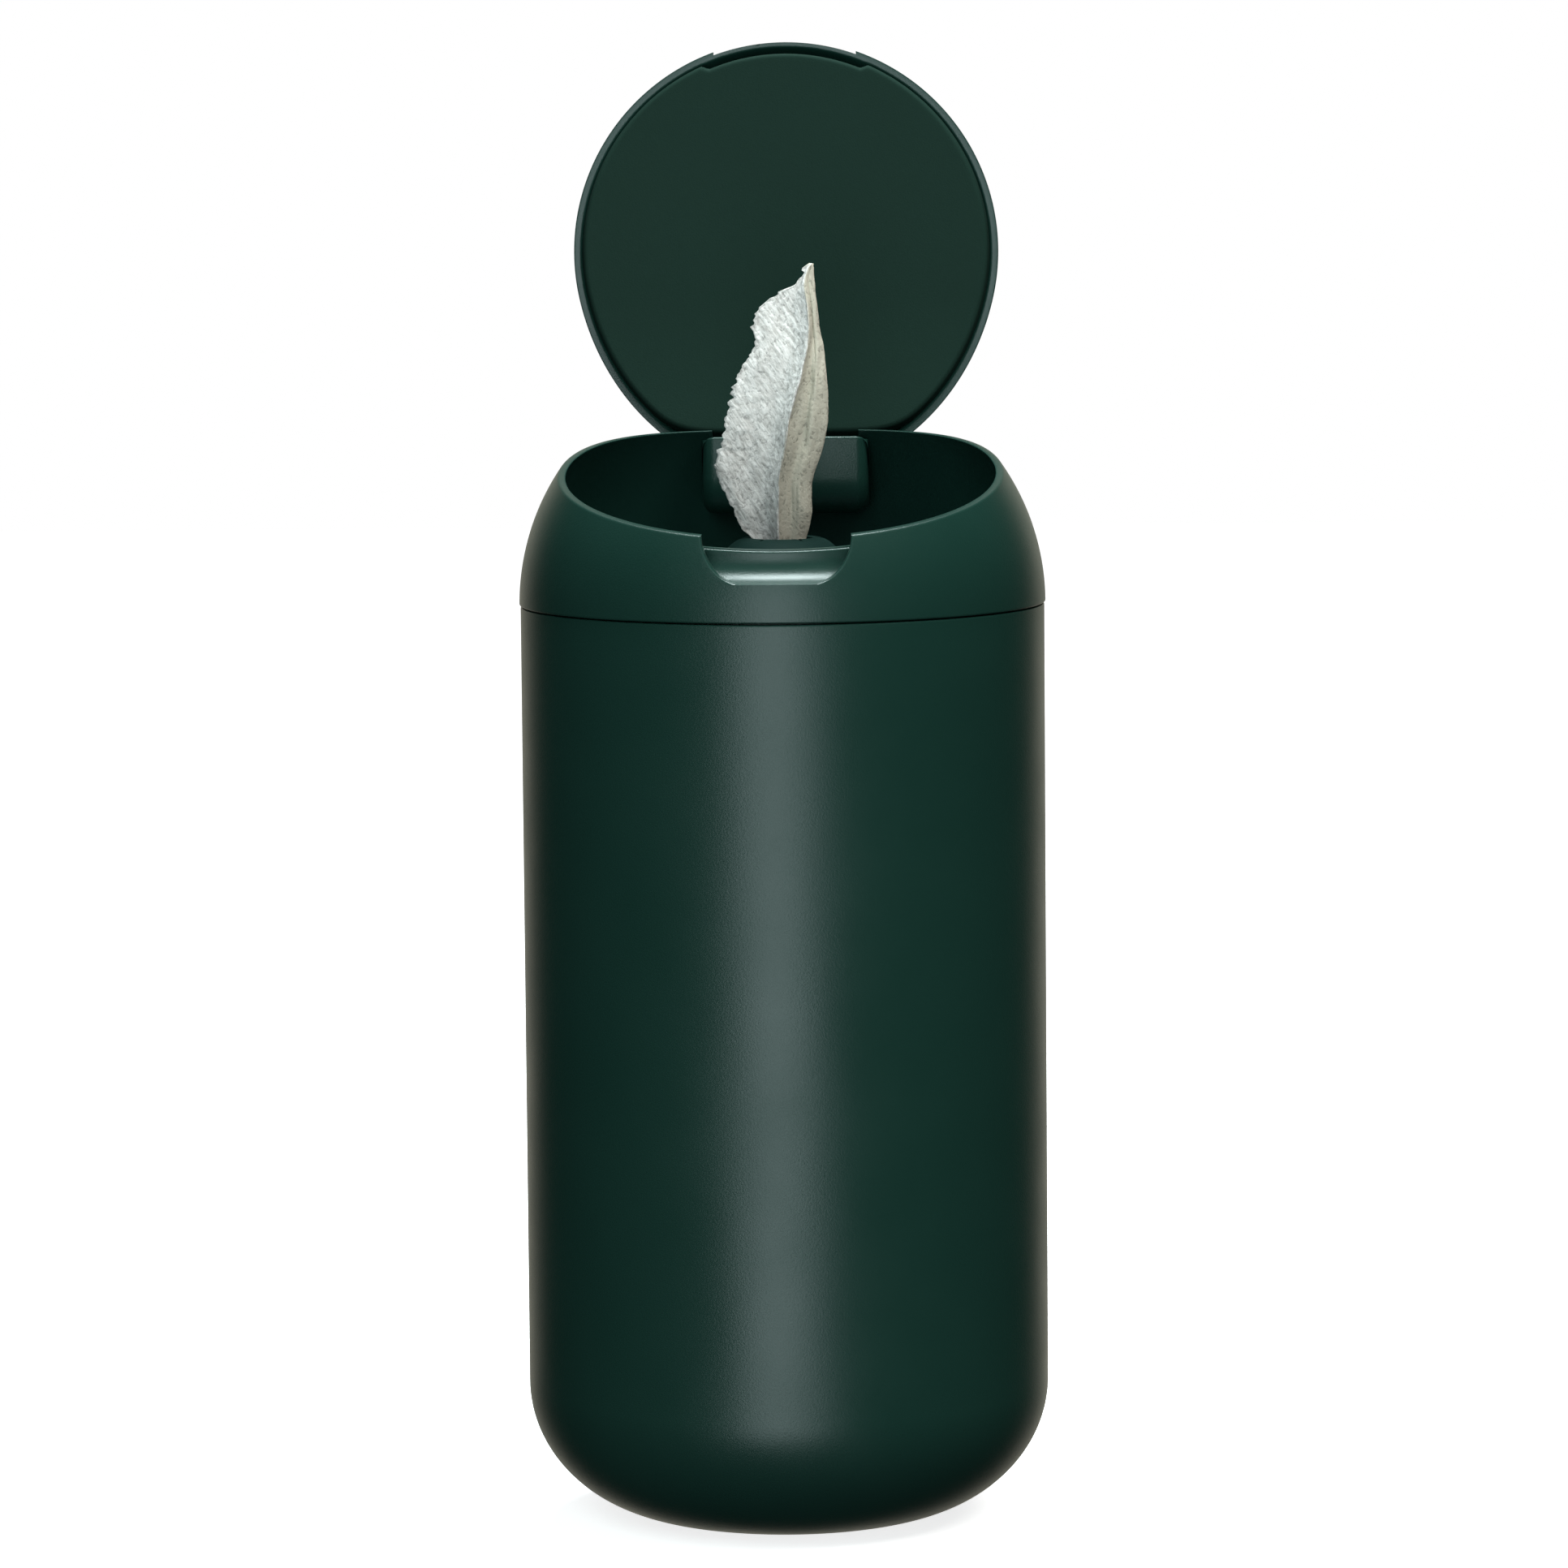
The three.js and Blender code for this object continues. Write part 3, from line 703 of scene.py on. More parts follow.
def drawn_across(name, outline, half, bevel=0.0):
    """A (y, z) outline drawn out along X to both sides, with its end edges rounded."""
    bm = bmesh.new()
    face = bm.faces.new([bm.verts.new(Vector((-half, y, z)) * mm) for y, z in outline])
    drawn = bmesh.ops.extrude_face_region(bm, geom=[face], use_keep_orig=True)
    moved = [item for item in drawn["geom"] if isinstance(item, bmesh.types.BMVert)]
    bmesh.ops.translate(bm, verts=moved, vec=(2 * half * mm, 0, 0))
    if bevel:
        ends = [edge for edge in bm.edges if edge.verts[0].co.x * edge.verts[1].co.x > 0]
        bmesh.ops.bevel(
            bm,
            geom=ends,
            offset=bevel * mm,
            offset_type="OFFSET",
            segments=3,
            profile=0.5,
            affect="EDGES",
            material=-1,
        )
    return finished(bm, name)


# %% Scoop
scoop_half = 15.2
scoop_floor = seam + 8.0
scoop_wall = dome_radius(scoop_floor) - 6.8
scoop_corner = 8.5
scoop_fillet = 5.5
scoop_wall_drop = 3.8
scoop_wall_width = 1.6
scoop_lip = 0.55
wall_round = 0.45
beyond = canister_radius + 5.0
above = mouth_rear + 5.0


def wall_top(radius, angle):
    return mouth_height(radius * math.sin(angle)) - scoop_wall_drop


def backing_place(row, angle):
    """A thick ring whose top follows the mouth, its inner edge rounded."""
    inner = scoop_wall - scoop_wall_width
    top = wall_top(inner, angle)
    profile = [
        (beyond, seat_height + 1),
        (inner, seat_height + 1),
        *arc((inner + wall_round, top - wall_round), (wall_round, wall_round), 180, 90, 4),
        (beyond, wall_top(beyond, angle)),
    ]
    return upright(profile[row], angle)


def scoop_backing():
    backing = spun("backing", 8, round_turns, backing_place, ring=True)
    half = scoop_half + shell_wall
    combine(backing, block("backing_sides", (-half, -70, seam), (half, 0, above)), "INTERSECT")
    combine(backing, dome_ball("backing_limit", 0.5 * shell_wall), "INTERSECT")
    return backing


def scoop_outline(margin):
    """Scoop seen from the front as (x, height), from the left top down and up to the right top."""
    half = scoop_half + margin
    bottom = scoop_floor - margin
    corner = scoop_corner + margin
    drop = 1.15 * corner
    left = arc((-half + corner, bottom + drop), (corner, drop), 180, 270, 20)
    right = arc((half - corner, bottom + drop), (corner, drop), 270, 360, 20)
    straight = [(-half, above - (above - bottom - drop) * i / 14) for i in range(14)]
    back = [(half, height) for _, height in reversed(straight)]
    flat = [(-half + corner + (2 * half - 2 * corner) * i / 12, bottom) for i in range(1, 12)]
    return straight + left + flat + right + back


def scoop_plug():
    """A plug of the scoop's outline that flares where it comes out of the dome."""
    depths = [-6.0, -0.25, 0.0, 0.04, 0.1, 0.18, 0.28, 0.4, scoop_lip, 3.0, 12.0]
    bm = bmesh.new()
    rings = []
    for depth in depths:
        inside = min(max(depth, 0.0), scoop_lip)
        flare = scoop_lip - math.sqrt(scoop_lip ** 2 - (scoop_lip - inside) ** 2)
        ring = []
        for x, height in scoop_outline(flare - 0.5 * min(depth, 0.0)):
            skin = dome_radius(min(max(height, seam), mouth_rear + 3.0))
            y = -math.sqrt(max(skin ** 2 - x ** 2, 1.0)) + depth
            ring.append(bm.verts.new(Vector((x, y, height)) * mm))
        rings.append(ring)
    for first, second in zip(rings, rings[1:]):
        for i in range(len(first)):
            j = (i + 1) % len(first)
            bm.faces.new((first[i], first[j], second[j], second[i]))
    bm.faces.new(rings[0])
    bm.faces.new(rings[-1])
    return finished(bm, "scoop_plug")


def depth_place(row, angle):
    """The space before the scoop's rear wall: a hollow fillet, the wall, its rounded top."""
    top = wall_top(scoop_wall, angle)
    centre = (scoop_wall + scoop_fillet, scoop_floor + scoop_fillet)
    profile = [
        (beyond, scoop_floor),
        *arc(centre, (scoop_fillet, scoop_fillet), 270, 180, 16),
        *arc((scoop_wall - wall_round, top - wall_round), (wall_round, wall_round), 0, 88, 4),
        (scoop_wall - wall_round, above + 5),
        (beyond, above + 5),
    ]
    return upright(profile[row], angle)


def scoop_cutter():
    plug = scoop_plug()
    combine(plug, spun("scoop_depth", 25, round_turns, depth_place, ring=True), "INTERSECT")
    return plug


# %% Hinge housing
barrel = 5.9
knuckle_half = 15.4
housing_half = 17.8
housing_drop = 1.3
housing_round = 2.6
barrel_room = barrel + 2 * gap
housing_reach = barrel_room + 1.8
housing_front = hinge_y - housing_reach


def add_hinge_housing(piece):
    top = mouth_rear - housing_drop
    under = arc((hinge_y, hinge_z), (housing_reach, housing_reach), 180, 270, 24)
    brow = rounded((housing_front, top), (60, top), (housing_front, 0), 0.5)
    outline = [(60, top), *brow, *under, (60, hinge_z - housing_reach)]
    housing = drawn_across("housing", outline, housing_half, housing_round)
    combine(housing, dome_ball("housing_limit", 0.5 * shell_wall), "INTERSECT")
    combine(piece, housing, "UNION")
    half = knuckle_half + gap
    slot_floor = hinge_z - barrel_room * math.sin(math.radians(44))
    room = hinge_rod("room", barrel_room, half)
    combine(room, block("slot", (-half, hinge_y - barrel_room, hinge_z), (half, 70, 260)), "UNION")
    combine(room, block("rear", (-half, hinge_y, slot_floor), (half, 70, 260)), "UNION")
    combine(room, hinge_rod("sockets", 2.5, knuckle_half + 1.5, 32), "UNION")
    combine(piece, room, "DIFFERENCE")


combine(collar_shell, scoop_backing(), "UNION")
combine(collar_shell, scoop_cutter(), "DIFFERENCE")
add_hinge_housing(collar_shell)
dress(collar_shell, casing_green, "collar", "collar_plastic", "collar")
print("collar:", len(collar_shell.data.polygons), "faces")

# %% [markdown]
# The lid
#
# The lid is modelled closed, where it completes the dome, and then turned open about its hinge as
# the real one is. Its knuckle is a barrel with a block that runs up into the shell.

# %% Lid shell
lid_gap = 0.4
lid_rows = 34


def lid_place(row, angle):
    top = math.pi / 2
    if row == 0:
        return Vector((0, 0, seam + dome_arc)) * mm
    row -= 1
    if row < lid_rows:
        end = mouth_lift(angle, 0.0, lid_gap) + 1.2 * rim_round / dome_arc
        return upright(on_dome(top + (end - top) * row / (lid_rows - 1), 0.0), angle)
    row -= lid_rows
    if row < rim_rows:
        return upright(rim_row(angle, row, lid_gap, False), angle)
    row -= rim_rows
    if row < lid_rows:
        start = mouth_lift(angle, shell_wall, lid_gap) + 1.2 * rim_round / dome_arc
        return upright(on_dome(start + (top - start) * row / (lid_rows - 1), shell_wall), angle)
    return Vector((0, 0, seam + dome_arc - shell_wall)) * mm


def opened(piece):
    """Turns a piece modelled closed about the hinge to where it stands open."""
    pivot = Vector((0, hinge_y, hinge_z)) * mm
    turn = Matrix.Rotation(-open_angle, 4, "X")
    piece.data.transform(Matrix.Translation(pivot) @ turn @ Matrix.Translation(-pivot))
    return piece


def lid_knuckle():
    front = hinge_y - barrel + gap
    high = (knuckle_half, 60, mouth_rear + lid_gap + shell_wall)
    knuckle = block("knuckle", (-knuckle_half, front, hinge_z), high)
    combine(knuckle, hinge_rod("barrel", barrel, knuckle_half), "UNION")
    combine(knuckle, dome_ball("knuckle_limit", 0.02), "INTERSECT")
    combine(knuckle, hinge_rod("trunnions", 2.2, knuckle_half + 1.2, 32), "UNION")
    return knuckle


def tab_place(row, angle):
    """A ring that shaves the rim of the lid a little where the finger lifts it."""
    low = mouth_lift(angle, 0.0, -3.0)
    high = mouth_lift(angle, 0.0, lid_gap + 1.4)
    profile = [on_dome(low, -3.0), on_dome(low, 0.6), on_dome(high, 0.6), on_dome(high, -3.0)]
    return upright(profile[row], angle)


lid_cap = spun("lid_cap", 2 * lid_rows + rim_rows + 2, round_turns, lid_place)
tab_cutter = spun("tab_cutter", 4, round_turns, tab_place, ring=True)
combine(tab_cutter, block("tab_sides", (-15.4, -70, seam), (15.4, 0, above)), "INTERSECT")
combine(lid_cap, tab_cutter, "DIFFERENCE")
combine(lid_cap, lid_knuckle(), "UNION")
opened(lid_cap)
dress(lid_cap, casing_green, "lid", "lid_plastic", "lid_shell")
print("lid shell:", len(lid_cap.data.polygons), "faces")

# %% Lid liner
liner_room = 0.9
liner_proud = 2.4
liner_round = 1.0
liner_rear = housing_front - 1.8
liner_middle = -8.0
liner_tab = (17.2, 1.1)
liner_softness = 26.0


def liner_reach(angle, margin, rise=0.0):
    """How far the liner reaches from its middle in one direction."""
    low, high = 0.0, 70.0
    for _ in range(26):
        reach = (low + high) / 2
        x = reach * math.cos(angle)
        y = liner_middle + reach * math.sin(angle)
        wall = dome_radius(mouth_height(y) + rise, shell_wall) - margin
        if y < 0:
            wall -= liner_tab[1] * min(max(0.5 + (liner_tab[0] - abs(x)) / 1.6, 0.0), 1.0)
        if x * x + y * y < wall * wall:
            low = reach
        else:
            high = reach
    if math.sin(angle) > 0.05:
        straight = (liner_rear - margin - liner_middle) / math.sin(angle)
        low = (low ** -liner_softness + straight ** -liner_softness) ** (-1 / liner_softness)
    return low


liner_back = lid_gap + shell_wall
liner_rings = (
    [(share, gap, liner_back) for share in (0.0, 0.6, 1.0)]
    + [(1.0, gap, lid_gap)]
    + [
        (1.0, liner_room + liner_round * (1 - math.cos(math.radians(turn))),
         -(liner_proud - liner_round) - liner_round * math.sin(math.radians(turn)))
        for turn in (0, 12, 24, 36, 48, 60, 70, 80, 90)
    ]
    + [(share, liner_room + liner_round, -liner_proud) for share in
       (0.985, 0.96, 0.92, 0.87, 0.8, 0.7, 0.6, 0.5, 0.4, 0.3, 0.2, 0.1, 0.0)]
)
reach_cache = {}


def liner_place(row, angle):
    share, margin, height = liner_rings[row]
    rise = height if height > 0 else 0.0
    key = (round(angle, 5), margin, rise)
    if key not in reach_cache:
        reach_cache[key] = liner_reach(angle, margin, rise)
    reach = share * reach_cache[key]
    x = reach * math.cos(angle)
    y = liner_middle + reach * math.sin(angle)
    return Vector((x, y, mouth_height(y) + height)) * mm


liner_pad = opened(spun("liner_pad", len(liner_rings), 480, liner_place))
dress(liner_pad, liner_green, "lid", "liner_plastic", "lid_liner")
print("liner:", len(liner_pad.data.polygons), "faces")

# %% [markdown]
# Inside the bowl
#
# The floor of the bowl is a dished plate that snaps up into the collar, and the soft valve in its
# middle grips the wipe. The gasket and the roll are hidden until the collar is lifted off.

# %% Plate
plate_radius = skirt_inner - gap
plate_top = seam + 3.0
valve_seat = plate_top - 2.5
valve_radius = 16.0
groove = valve_radius - 1.1
brim_radius = valve_radius + 2.2
dish = (plate_radius - 2.3, plate_top)
plate_points = [
    (groove + gap, valve_seat - 2),
    (brim_radius, valve_seat - 2),
    (plate_radius - 2, plate_top - 2),
    (plate_radius, plate_top - 2),
    *rounded((plate_radius, plate_top), (plate_radius, 0), (0, plate_top), 0.3, 3),
    *rounded(dish, (plate_radius, plate_top), (brim_radius, valve_seat), 0.8),
    *rounded((brim_radius, valve_seat), dish, (0, valve_seat), 3.0, 8),
    (groove + gap, valve_seat),
]
plate = spun("bowl_plate", len(plate_points), 160, turned(plate_points), ring=True)
dress(plate, bowl_green, "collar", "plate_plastic", "dispensing_plate")
print("plate:", len(plate.data.polygons), "faces")

# %% Valve
valve_mouth = 6.4
valve_skin = 1.5
valve_over = valve_seat + gap
valve_brim = valve_over + 1.0
valve_dome = 12.0
slit_reach, slit_half, slit_count = 8.6, 0.35, 6
valve_top = valve_brim + valve_dome
dome_foot = groove - 0.4
lip = valve_mouth + 0.5 * valve_skin
valve_hollow = (dome_foot - valve_skin - valve_mouth, valve_dome - valve_skin)
valve_under = valve_seat - 2 - gap
valve_points = [
    *arc((valve_mouth, valve_brim), valve_hollow, 88, 0, 16),
    (dome_foot - valve_skin, valve_under - 1),
    (valve_radius, valve_under - 1),
    (valve_radius, valve_under),
    (groove, valve_under),
    (groove, valve_over),
    *rounded((valve_radius, valve_over), (groove, valve_over), (valve_radius, valve_brim), 0.2, 3),
    *rounded((valve_radius - 0.5, valve_brim), (valve_radius, valve_over), (dome_foot, valve_brim), 0.4, 3),
    *arc((lip, valve_brim), (dome_foot - lip, valve_dome), 0, 88, 20),
    *rounded((valve_mouth, valve_top), (lip, valve_top), (valve_mouth, valve_brim), 0.45, 4),
]
valve = spun("valve_dome", len(valve_points), 160, turned(valve_points), ring=True)
for index in range(slit_count):
    slit = block("slit", (0, -slit_half, valve_brim + 3), (slit_reach, slit_half, valve_top + 5))
    slit.data.transform(Matrix.Rotation(index * math.tau / slit_count, 4, "Z"))
    combine(valve, slit, "DIFFERENCE")
dress(valve, valve_green, "collar", "valve_silicone", "dispensing_valve")
print("valve:", len(valve.data.polygons), "faces")

# %% Gasket
gasket = frame["nodes"]["collar_gasket"]
gasket.data.materials.clear()
gasket.data.materials.append(seal_grey)
print("gasket finished")

# %% [markdown]
# Cloth
#
# A wipe is non-woven cloth: pressed fibres that mostly run one way, with fine pits between them.
# The pits are sheer, and the torn edge frays away. The panel beyond the crease is tinted darker
# and warmer, which is painted shade. The mesh says where each is, with two attributes: the distance
# from the torn edge in millimetres, and how far past the crease a point lies. The wipe is also
# darker towards its foot, low in the bowl, which is painted shade.

# %% Non-woven cloth
def build_cloth_group():
    group = bpy.data.node_groups.new("pressed_fibres", "ShaderNodeTree")
    socket(group, "Pit Scale", "INPUT", "NodeSocketFloat", 900.0)
    socket(group, "Strength", "INPUT", "NodeSocketFloat", 0.5)
    socket(group, "Shade", "OUTPUT", "NodeSocketFloat")
    socket(group, "Pits", "OUTPUT", "NodeSocketFloat")
    socket(group, "Normal", "OUTPUT", "NodeSocketVector")
    nodes, links = group.nodes, group.links
    given = nodes.new("NodeGroupInput")
    result = nodes.new("NodeGroupOutput")
    where = nodes.new("ShaderNodeTexCoord")
    stretch = nodes.new("ShaderNodeMapping")
    stretch.vector_type = "TEXTURE"
    stretch.inputs["Scale"].default_value = (1.0, 1.0, 4.5)
    stretch.inputs["Rotation"].default_value = (0.0, -0.6, 0.0)
    links.new(where.outputs["Object"], stretch.inputs["Vector"])
    pits = nodes.new("ShaderNodeTexNoise")
    pits.inputs["Detail"].default_value = 2.0
    pits.inputs["Distortion"].default_value = 0.6
    links.new(where.outputs["Object"], pits.inputs["Vector"])
    links.new(given.outputs["Pit Scale"], pits.inputs["Scale"])
    fibres = nodes.new("ShaderNodeTexNoise")
    fibres.inputs["Scale"].default_value = 1500.0
    fibres.inputs["Detail"].default_value = 4.0
    fibres.inputs["Roughness"].default_value = 0.65
    links.new(stretch.outputs["Vector"], fibres.inputs["Vector"])
    height = nodes.new("ShaderNodeMath")
    height.operation = "ADD"
    links.new(pits.outputs["Fac"], height.inputs[0])
    links.new(fibres.outputs["Fac"], height.inputs[1])
    bump = nodes.new("ShaderNodeBump")
    bump.inputs["Distance"].default_value = 0.0004
    links.new(given.outputs["Strength"], bump.inputs["Strength"])
    links.new(height.outputs[0], bump.inputs["Height"])
    links.new(fibres.outputs["Fac"], result.inputs["Shade"])
    links.new(pits.outputs["Fac"], result.inputs["Pits"])
    links.new(bump.outputs["Normal"], result.inputs["Normal"])
    return group


cloth_group = build_cloth_group()
# Painted shade: the wipe's colour darkens from the top down to its foot, low in the bowl.
painted_shade_bottom, painted_shade_top = 206 * mm, 246 * mm
painted_shade_depth = 0.5
fray_width = 1.4
fibre_dark = (0.46, 0.45, 0.43)
fibre_light = (0.8, 0.79, 0.77)
# Painted shade: the panel beyond the crease is tinted darker and warmer.
right_panel_shade_tint = (0.5, 0.47, 0.39)


def build_cloth(name, sheer=False):
    """The cloth of the roll, or with sheer the single wipe: open pits, a frayed edge, painted
    shade on the panel beyond the crease, and painted shade darkening its foot low in the bowl."""
    material = bpy.data.materials.new(name)
    material.use_nodes = True
    nodes, links = material.node_tree.nodes, material.node_tree.links
    shader = nodes["Principled BSDF"]
    fibres = nodes.new("ShaderNodeGroup")
    fibres.node_tree = cloth_group
    fibres.inputs["Pit Scale"].default_value = 1100.0
    fibres.inputs["Strength"].default_value = 0.5
    ramp = nodes.new("ShaderNodeMix")
    ramp.data_type = "RGBA"
    contrast = nodes.new("ShaderNodeMapRange")
    contrast.inputs["From Min"].default_value = 0.36
    contrast.inputs["From Max"].default_value = 0.62
    links.new(fibres.outputs["Shade"], contrast.inputs["Value"])
    ramp.inputs["A"].default_value = (*fibre_dark, 1)
    ramp.inputs["B"].default_value = (*fibre_light, 1)
    links.new(contrast.outputs["Result"], ramp.inputs["Factor"])
    colour = ramp.outputs["Result"]
    if sheer:
        # Painted shade: past the crease the colour is mixed towards a darker, warmer tint.
        side = nodes.new("ShaderNodeAttribute")
        side.attribute_name = "right_panel_shade"
        right_panel_shade_mix = nodes.new("ShaderNodeMix")
        right_panel_shade_mix.data_type = "RGBA"
        right_panel_shade_mix.inputs["B"].default_value = (*right_panel_shade_tint, 1)
        links.new(side.outputs["Fac"], right_panel_shade_mix.inputs["Factor"])
        links.new(colour, right_panel_shade_mix.inputs["A"])
        # Painted shade: the colour darkens with height, towards the wipe's foot.
        where = nodes.new("ShaderNodeTexCoord")
        split = nodes.new("ShaderNodeSeparateXYZ")
        links.new(where.outputs["Object"], split.inputs[0])
        painted_shade_ramp = nodes.new("ShaderNodeMapRange")
        painted_shade_ramp.inputs["From Min"].default_value = painted_shade_bottom
        painted_shade_ramp.inputs["From Max"].default_value = painted_shade_top
        painted_shade_ramp.inputs["To Min"].default_value = painted_shade_depth
        links.new(split.outputs["Z"], painted_shade_ramp.inputs["Value"])
        painted_shade_mix = nodes.new("ShaderNodeMix")
        painted_shade_mix.data_type = "RGBA"
        painted_shade_mix.blend_type = "MULTIPLY"
        painted_shade_mix.inputs["Factor"].default_value = 1.0
        links.new(right_panel_shade_mix.outputs["Result"], painted_shade_mix.inputs["A"])
        links.new(painted_shade_ramp.outputs["Result"], painted_shade_mix.inputs["B"])
        colour = painted_shade_mix.outputs["Result"]
    links.new(colour, shader.inputs["Base Color"])
    links.new(fibres.outputs["Normal"], shader.inputs["Normal"])
    shader.inputs["Roughness"].default_value = 0.9
    shader.inputs["Specular IOR Level"].default_value = 0.15
    if sheer:
        edge = nodes.new("ShaderNodeAttribute")
        edge.attribute_name = "from_torn_edge"
        fray = nodes.new("ShaderNodeMapRange")
        fray.inputs["From Min"].default_value = 0.0
        fray.inputs["From Max"].default_value = fray_width
        fray.inputs["To Min"].default_value = 0.6
        fray.inputs["To Max"].default_value = 0.33
        links.new(edge.outputs["Fac"], fray.inputs["Value"])
        solid = nodes.new("ShaderNodeMath")
        solid.operation = "SUBTRACT"
        links.new(fibres.outputs["Pits"], solid.inputs[0])
        links.new(fray.outputs["Result"], solid.inputs[1])
        cover = nodes.new("ShaderNodeMapRange")
        cover.inputs["From Min"].default_value = 0.0
        cover.inputs["From Max"].default_value = 0.09
        cover.inputs["To Min"].default_value = 0.62
        cover.inputs["To Max"].default_value = 1.0
        links.new(solid.outputs[0], cover.inputs["Value"])
        links.new(cover.outputs["Result"], shader.inputs["Alpha"])
    return material


roll_cloth = build_cloth("roll_cloth")
wipe_cloth = build_cloth("wipe_cloth", sheer=True)
roll = frame["nodes"]["wipes_roll"]
roll.data.materials.clear()
roll.data.materials.append(roll_cloth)
print("cloth ready")

# %% [markdown]
# The wipe
#
# The wipe was torn off along its left edge and is gathered where the valve grips it. It is drawn
# as one long folded line at each height: the left panel, a crease that stands forward, the right
# panel with its painted shade, and three more folds behind. A row of these lines makes the sheet,
# small creases are pressed into it with noise, and it gets the thickness of cloth at the end.

# %% Fold lines of the wipe
# height, left edge, crease, right edge, how far the crease stands forward
wipe_rows = [
    (168.0, -5.2, -0.4, 5.0, 2.2),
    (190.0, -5.3, -0.5, 5.1, 2.4),
    (203.0, -5.4, -0.6, 5.1, 2.6),
    (207.5, -6.0, -0.6, 4.9, 3.0),
    (210.0, -8.6, -0.6, 5.7, 3.4),
    (213.0, -9.9, -0.7, 6.2, 3.7),
    (216.0, -11.2, -0.6, 6.1, 3.9),
    (219.0, -12.5, -0.3, 6.4, 4.0),
    (222.0, -13.3, 0.1, 7.3, 4.1),
    (224.0, -13.6, 0.4, 7.9, 4.2),
    (226.0, -13.0, 0.7, 8.4, 4.2),
    (229.0, -12.2, 1.1, 9.1, 4.2),
    (232.0, -11.6, 1.6, 9.7, 4.2),
    (235.0, -11.0, 2.3, 9.8, 4.1),
    (238.0, -10.2, 3.1, 9.7, 3.9),
    (241.0, -9.3, 4.1, 9.5, 3.7),
    (244.0, -7.7, 4.9, 9.4, 3.4),
    (246.0, -6.3, 5.5, 9.3, 3.2),
    (248.0, -5.3, 5.8, 9.0, 2.9),
    (250.0, -5.3, 5.9, 8.4, 2.6),
    (252.0, -5.9, 5.9, 7.9, 2.3),
    (253.5, -5.7, 5.8, 7.8, 2.1),
    (255.0, -5.0, 5.7, 7.6, 1.9),
    (257.0, -3.3, 5.6, 7.5, 1.7),
    (259.0, -0.1, 5.3, 7.3, 1.5),
    (260.5, 2.9, 5.1, 7.3, 1.3),
    (262.0, 4.4, 5.3, 7.1, 1.0),
    (263.2, 5.0, 5.7, 7.0, 0.7),
    (264.1, 4.9, 6.0, 7.0, 0.5),
    (264.5, 5.6, 6.2, 6.9, 0.4),
    (265.0, 6.5, 6.7, 6.9, 0.3),
]
wipe_columns = 150
wipe_height_step = 0.45
cloth_thickness = 0.32
grip_height = 207.5
free_length = 6.0
whole_span = 16.0
fold_length = 60.0
widest_fray = 9.0
# Where along the fold line the painted shade of the right panel begins, and how soft its start is.
right_panel_shade_starts, right_panel_shade_blend = 4.05, 0.3


def wipe_row(height):
    """The row of sizes at a height, between the two nearest given rows."""
    for low, high in zip(wipe_rows, wipe_rows[1:]):
        if low[0] <= height <= high[0]:
            t = (height - low[0]) / (high[0] - low[0])
            return [a + (b - a) * t for a, b in zip(low, high)][1:]
    return list(wipe_rows[-1][1:])


def fold_line(left, crease, right, deep):
    """Corners of the folded line from the torn edge to the hidden end, as (x, y)."""
    wide = right - left
    return [
        (left, -0.55 * deep),
        (left + 0.34 * (crease - left), -0.40 * deep),
        (left + 0.74 * (crease - left), -0.42 * deep),
        (crease - min(0.4, 0.08 * wide), -1.02 * deep),
        (crease, -1.15 * deep),
        (crease + min(0.3, 0.08 * wide), -1.0 * deep),
        (crease + 0.40 * (right - crease), -0.42 * deep),
        (crease + 0.66 * (right - crease), -0.44 * deep),
        (right, 0.0),
        (right - 0.12 * wide, 0.22 * deep),
        (left + 0.45 * wide, 0.14 * deep),
        (left + 0.10 * wide, 0.10 * deep),
        (left + 0.12 * wide, 0.34 * deep),
        (left + 0.50 * wide, 0.42 * deep),
        (right - 0.12 * wide, 0.45 * deep),
        (right - 0.14 * wide, 0.66 * deep),
        (left + 0.50 * wide, 0.72 * deep),
        (left + 0.22 * wide, 0.70 * deep),
    ]


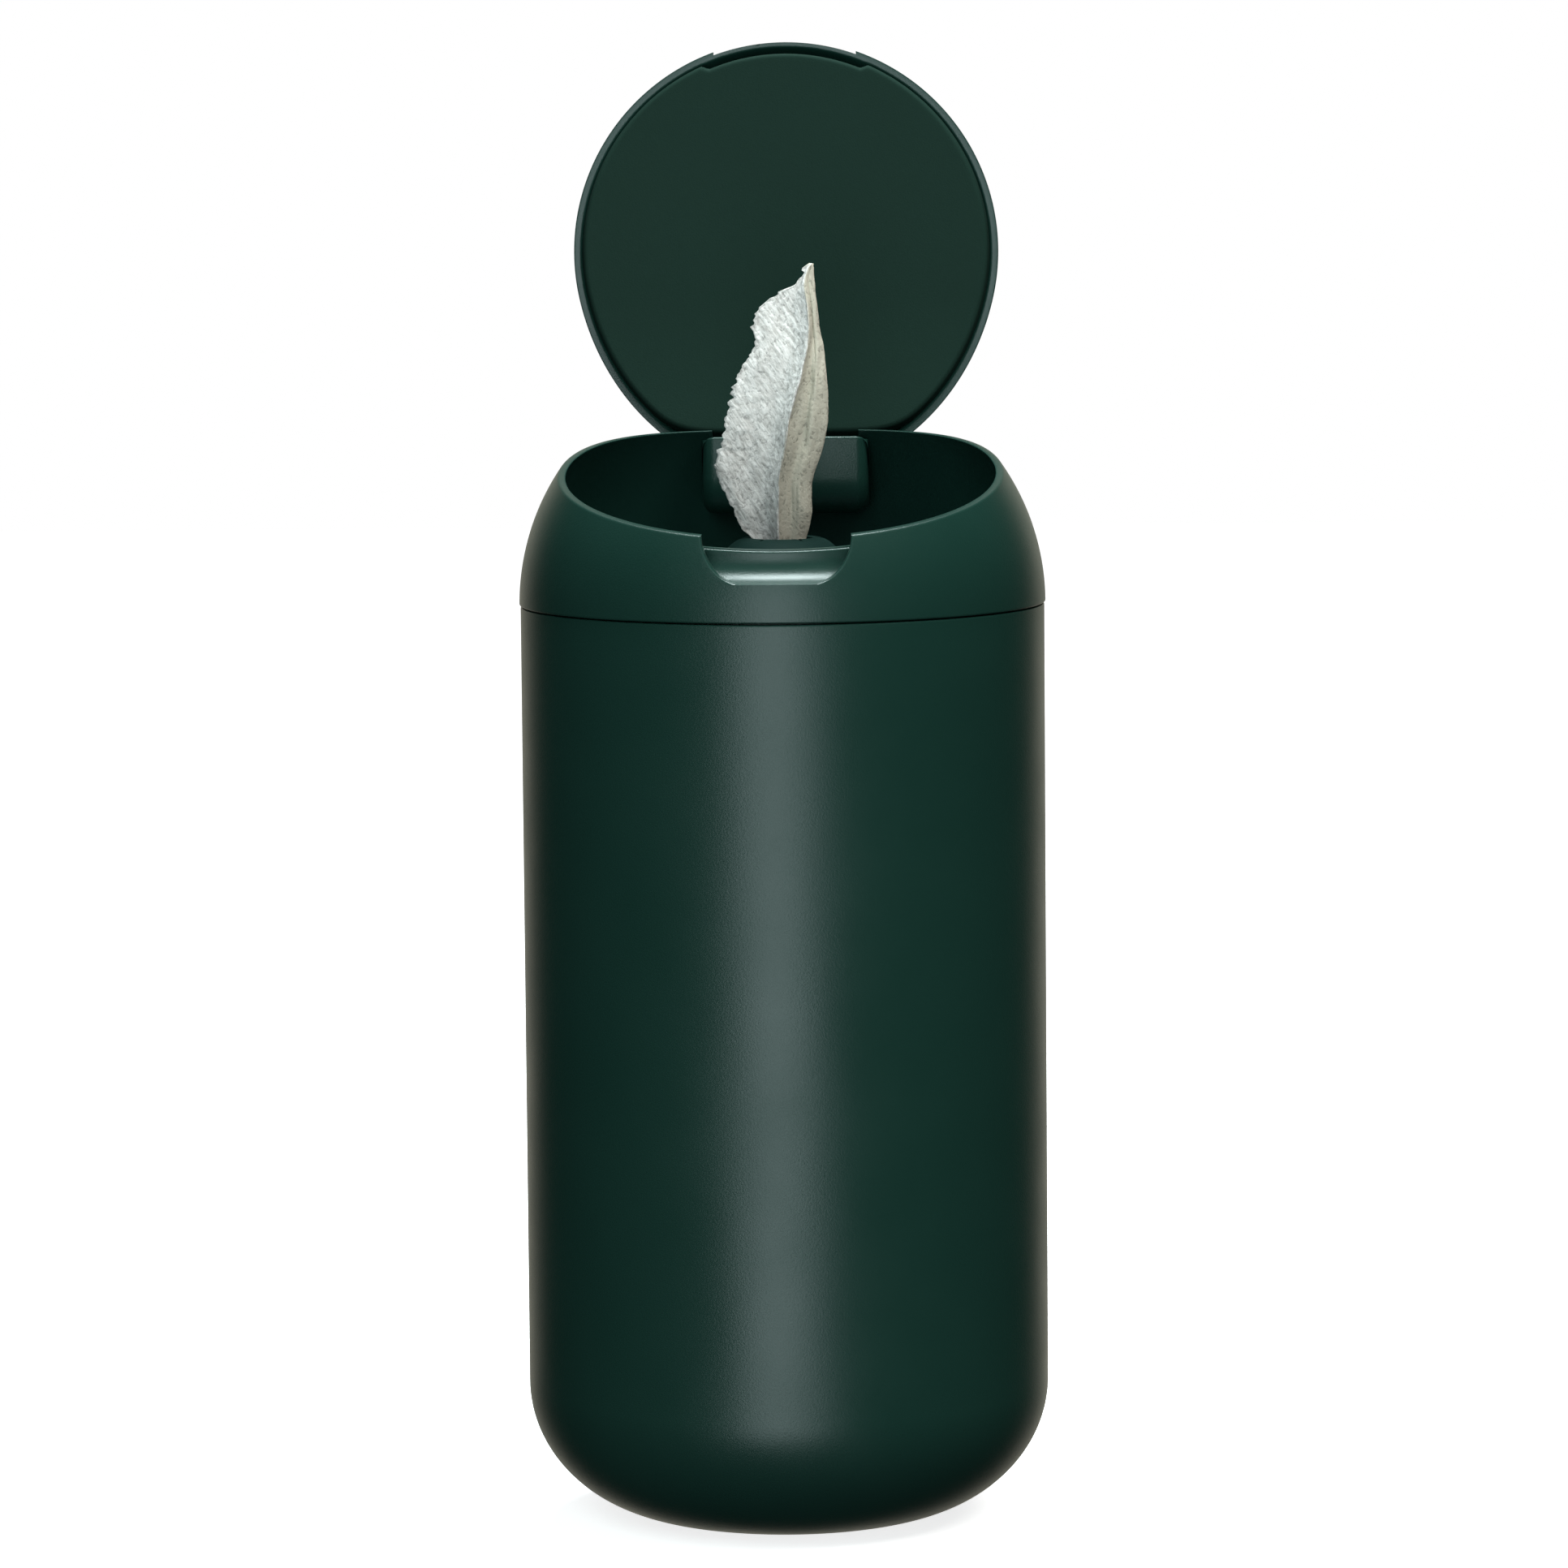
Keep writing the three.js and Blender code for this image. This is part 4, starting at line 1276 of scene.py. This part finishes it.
def through(points, t):
    """A point on the curve that runs through the points without corners, with t from 0 to 1."""
    spot = t * (len(points) - 1)
    i = min(int(spot), len(points) - 2)
    f = spot - i
    p = [Vector(points[min(max(i + k, 0), len(points) - 1)]) for k in (-1, 0, 1, 2)]
    return (
        p[1]
        + (p[2] - p[0]) * (0.5 * f)
        + (2 * p[0] - 5 * p[1] + 4 * p[2] - p[3]) * (0.5 * f * f)
        + (3 * p[1] - 3 * p[2] + p[3] - p[0]) * (0.5 * f ** 3)
    )


def build_wipe():
    low, high = wipe_rows[0][0], wipe_rows[-1][0]
    count = round((high - low) / wipe_height_step)
    bm = bmesh.new()
    torn = bm.verts.layers.float.new("from_torn_edge")
    side = bm.verts.layers.float.new("right_panel_shade")
    rows = []
    for i in range(count + 1):
        height = low + (high - low) * i / count
        left, crease, right, deep = wipe_row(height)
        free = min(max((height - grip_height) / free_length, 0.0), 1.0)
        ragged = 0.9 * noise.noise((0, 1, height * 0.9))
        bitten = 0.5 * noise.noise((0, 5, height * 2.7))
        left += free * (ragged + bitten)
        corners = fold_line(left, crease, right, deep)
        slump = free * 0.4 * noise.noise((3, 7, height * 0.12))
        loose = min(right - left, whole_span) / whole_span * free
        row = []
        for j in range(wipe_columns + 1):
            t = j / wipe_columns
            spot = through(corners, t)
            broad = noise.noise((t * 11, height * 0.055, 2.0)) * 1.1 * loose
            fine = noise.noise((t * 34, height * 0.16, 9.0)) * 0.42 * loose
            crisp = abs(noise.noise((t * 20 + height * 0.05, height * 0.11, 4.0))) * 0.5 * loose
            x = spot.x + slump + 0.25 * fine
            y = spot.y + broad + fine - crisp
            vert = bm.verts.new(Vector((x, y, height)) * mm)
            vert[torn] = min(t * fold_length, widest_fray)
            # How far past the crease a point lies; it sets the painted shade of the right panel.
            past_crease = t * (len(corners) - 1) - right_panel_shade_starts
            vert[side] = min(max(past_crease / right_panel_shade_blend, 0.0), 1.0)
            row.append(vert)
        rows.append(row)
    for first, second in zip(rows, rows[1:]):
        for a, b, c, d in zip(first, first[1:], second[1:], second):
            bm.faces.new((a, b, c, d))
    return finished(bm, "wipe_sheet", 80)


wipe = build_wipe()
thicken = wipe.modifiers.new("thickness", "SOLIDIFY")
thicken.thickness = cloth_thickness * mm
thicken.offset = 0.0
dress(wipe, wipe_cloth, "collar", "wipe_cloth", "wipe")
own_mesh(wipe)
print("wipe:", len(wipe.data.polygons), "faces")
